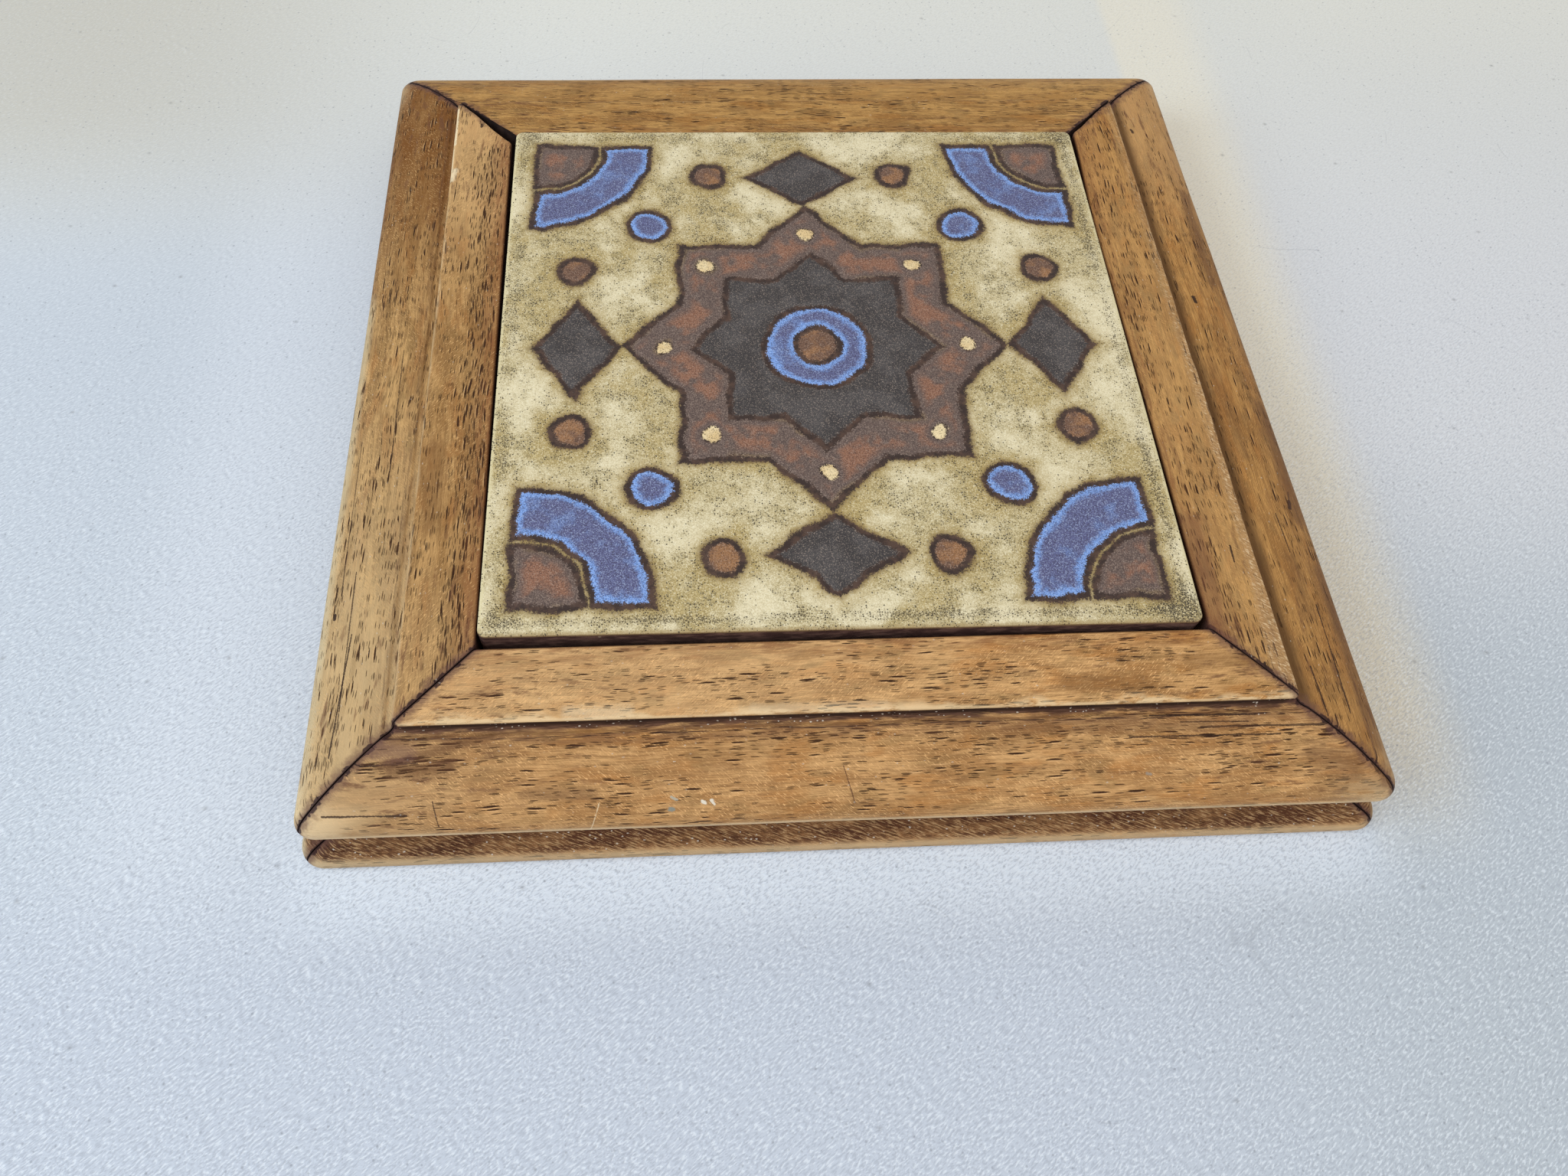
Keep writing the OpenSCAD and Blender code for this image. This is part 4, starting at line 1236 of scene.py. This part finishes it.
# %% [markdown]
# ### Lines and pools
#
# Where the resist burnt away, a dark line is left. Each pool is laid where its own distance falls below
# nought, and its depth colours it: blue pools are paler round their rims, and brown ones turn to rust in
# the middle. Dark and pale flecks in all of them make the glaze matt.

# %% Lines and pools
def lay_lines(g):
    burnt = g.mix(g.wisps.rise(0.42, 0.62), (0.036, 0.019, 0.015), (0.085, 0.046, 0.033))
    g.lay(g.gap.rise(2.9, 1.6) * 0.55, (0.20, 0.125, 0.045))
    g.lay(g.gap.rise(1.85, 1.35), burnt)


def lay_pools(g):
    inside = {name: (distance + g.frayed).rise(0.25, -0.25) for name, distance in g.distances.items()}
    depth = {name: 0 - distance for name, distance in g.distances.items()}
    blotch = g.cloud(g.mm, 7, detail=3, roughness=0.6)
    patches = blotch.rise(0.42, 0.6)
    rusty = blotch.rise(0.42, 0.58) * (depth["brown"] + g.sand * 2 - 1).rise(0.4, 3.2)
    tan_rim = (depth["brown"] + g.sand * 2).rise(2.2, 0.6) * g.tan.rise(0.5, 0.6)
    brown = g.mix(rusty, (0.140, 0.095, 0.082), (0.280, 0.130, 0.080))
    pale_rim = (depth["blue"] + (g.sand - 0.5) * 3).rise(1.9, 0.3)
    colours = {
        "brown": g.mix(tan_rim * 0.6, brown, (0.25, 0.165, 0.075)),
        "charcoal": g.mix(patches, (0.048, 0.043, 0.044), (0.080, 0.073, 0.075)),
        "blue": g.mix(pale_rim + blotch.rise(0.50, 0.68) * 0.35, (0.110, 0.120, 0.270), (0.200, 0.360, 0.80)),
        "rust": g.mix(patches, (0.17, 0.088, 0.055), (0.33, 0.16, 0.07)),
        "cream": g.mix(patches, (0.78, 0.58, 0.30), (0.90, 0.74, 0.45)),
    }
    for name, colour in colours.items():
        g.lay(inside[name], colour)
    g.pooled = g.gap.rise(0.2, -0.2)
    pale_fleck = g.mix(inside["blue"], (0.46, 0.36, 0.31), (0.55, 0.68, 0.90))
    g.lay(g.pooled * g.grain.rise(0.52, 0.61) * 0.60, (0.030, 0.021, 0.026))
    g.lay(g.pooled * g.grain.rise(0.44, 0.36) * 0.45, pale_fleck)

# %% [markdown]
# ### The whole glaze
#
# The layers are laid in the order in which the potter and the kiln laid them. Below its rolled edge the
# coat thins, and the brown of the clay comes through, which a rule on the height shows.

# %% Paint the face
def painted_glaze():
    g = Glaze("painted_glaze")
    lay_ground(g)
    lay_rim(g)
    lay_lines(g)
    lay_pools(g)
    thin = (g.z + (g.sand - 0.5) * 0.35).rise(TILE_TOP - 0.20, TILE_TOP - 0.42)
    g.lay(thin * 0.85, (0.21, 0.135, 0.075))
    rough = 0.40 + g.grain * 0.2 + g.pooled * 0.05
    return g.finish(g.grain * 0.08 + g.wisps * 0.04 + g.sand * 0.06, Roughness=rough, Specular_IOR_Level=0.4)


glazed_face.data.materials.append(painted_glaze())
print("glaze nodes:", len(glazed_face.data.materials[0].node_tree.nodes))

# %% [markdown]
# ## Clay, board and fastenings
#
# The tile's side is dark fired clay that was brushed with a glossy brown, and shows as a dark band along
# the front. What lies beneath is seen only from below: a plywood board, and bent steel nails in the mitres.
# Their CAD shapes are right, so they stay, and each gets a finish of its own.

# %% Clay
def dressed(node, material):
    nodes[node].data.materials.clear()
    nodes[node].data.materials.append(material)
    print(node, "wears", material.name)


def clay():
    paint = Paint("brushed_clay")
    mm, x, y, z = paint.position()
    runs = paint.cloud(mm, (3.5, 3.5, 1.2), detail=3)
    grain = paint.cloud(mm, 0.4)
    paint.colour = paint.mix(runs.rise(0.4, 0.7), (0.072, 0.037, 0.034), (0.180, 0.100, 0.083))
    chips = paint.cells(mm, 2.2, flat=False)
    chipped = chips.rise(0.2, 0.1) * paint.lot(chips).rise(0.86, 0.9)
    paint.lay(chipped * 0.6, (0.45, 0.36, 0.27))
    lower = z.rise(21.5, 20.5)
    paint.lay(lower * 0.85, (0.33, 0.19, 0.12))
    return paint.finish(runs * 0.25 + grain * 0.05, Roughness=0.26 + grain * 0.16 + lower * 0.4)


dressed("tile_body", clay())

# %% Plywood
PLY, BOARD = 1.2, 6


def plywood():
    paint = Paint("plywood")
    mm, x, y, z = paint.position()
    layer = (z - LEDGE_TOP) / PLY
    turned = (layer.math("FLOOR") * 0.5).math("FRACT").rise(0.2, 0.3)
    face = paint.cloud(mm, (40, 2.2, 40), detail=4, roughness=0.65)
    cross = paint.cloud(mm, (2.2, 40, 40), detail=4, roughness=0.65)
    fine = paint.cloud(mm, (9, 0.35, 9))
    light = paint.mix(face.rise(0.35, 0.65), (0.52, 0.37, 0.21), (0.66, 0.50, 0.31))
    other = paint.mix(cross.rise(0.35, 0.65), (0.40, 0.27, 0.15), (0.50, 0.35, 0.20))
    on_face = abs(z - LEDGE_TOP - BOARD / 2).rise(2.95, 2.99)
    paint.colour = paint.mix(turned * (1 - on_face), light, other)
    lines = abs(layer.math("FRACT") - 0.5).rise(0.42, 0.48) * (1 - on_face)
    paint.lay(lines * 0.6, (0.16, 0.09, 0.05))
    paint.lay(fine.rise(0.6, 0.75) * 0.35, (0.28, 0.17, 0.09))
    return paint.finish(face * 0.08 + fine * 0.05, Roughness=0.7 + fine * 0.1)


dressed("backing_board", plywood())

# %% Adhesive and steel
def adhesive():
    paint = Paint("set_adhesive")
    mm, x, y, z = paint.position()
    combed = paint.cloud(mm, (14, 1.5, 5))
    grain = paint.cloud(mm, 0.5)
    paint.colour = paint.mix(combed.rise(0.35, 0.7), (0.62, 0.58, 0.48), (0.75, 0.72, 0.63))
    return paint.finish(combed * 0.3 + grain * 0.05, Roughness=0.75 + grain * 0.1)


def bare_steel():
    paint = Paint("bare_steel")
    mm, x, y, z = paint.position()
    drawn = paint.cloud(mm, (0.15, 0.15, 3))
    rusting = paint.cloud(mm, 1.6, detail=3).rise(0.52, 0.66)
    paint.colour = paint.mix(drawn, (0.40, 0.39, 0.38), (0.56, 0.55, 0.54))
    paint.lay(rusting * 0.7, (0.26, 0.13, 0.06))
    return paint.finish(
        drawn * 0.01 + rusting * 0.02, Metallic=1 - rusting * 0.8, Roughness=0.35 + rusting * 0.4)


dressed("tile_adhesive", adhesive())
dressed("mitre_nails", bare_steel())
dressed("panel_pins", bare_steel())

# %% [markdown]
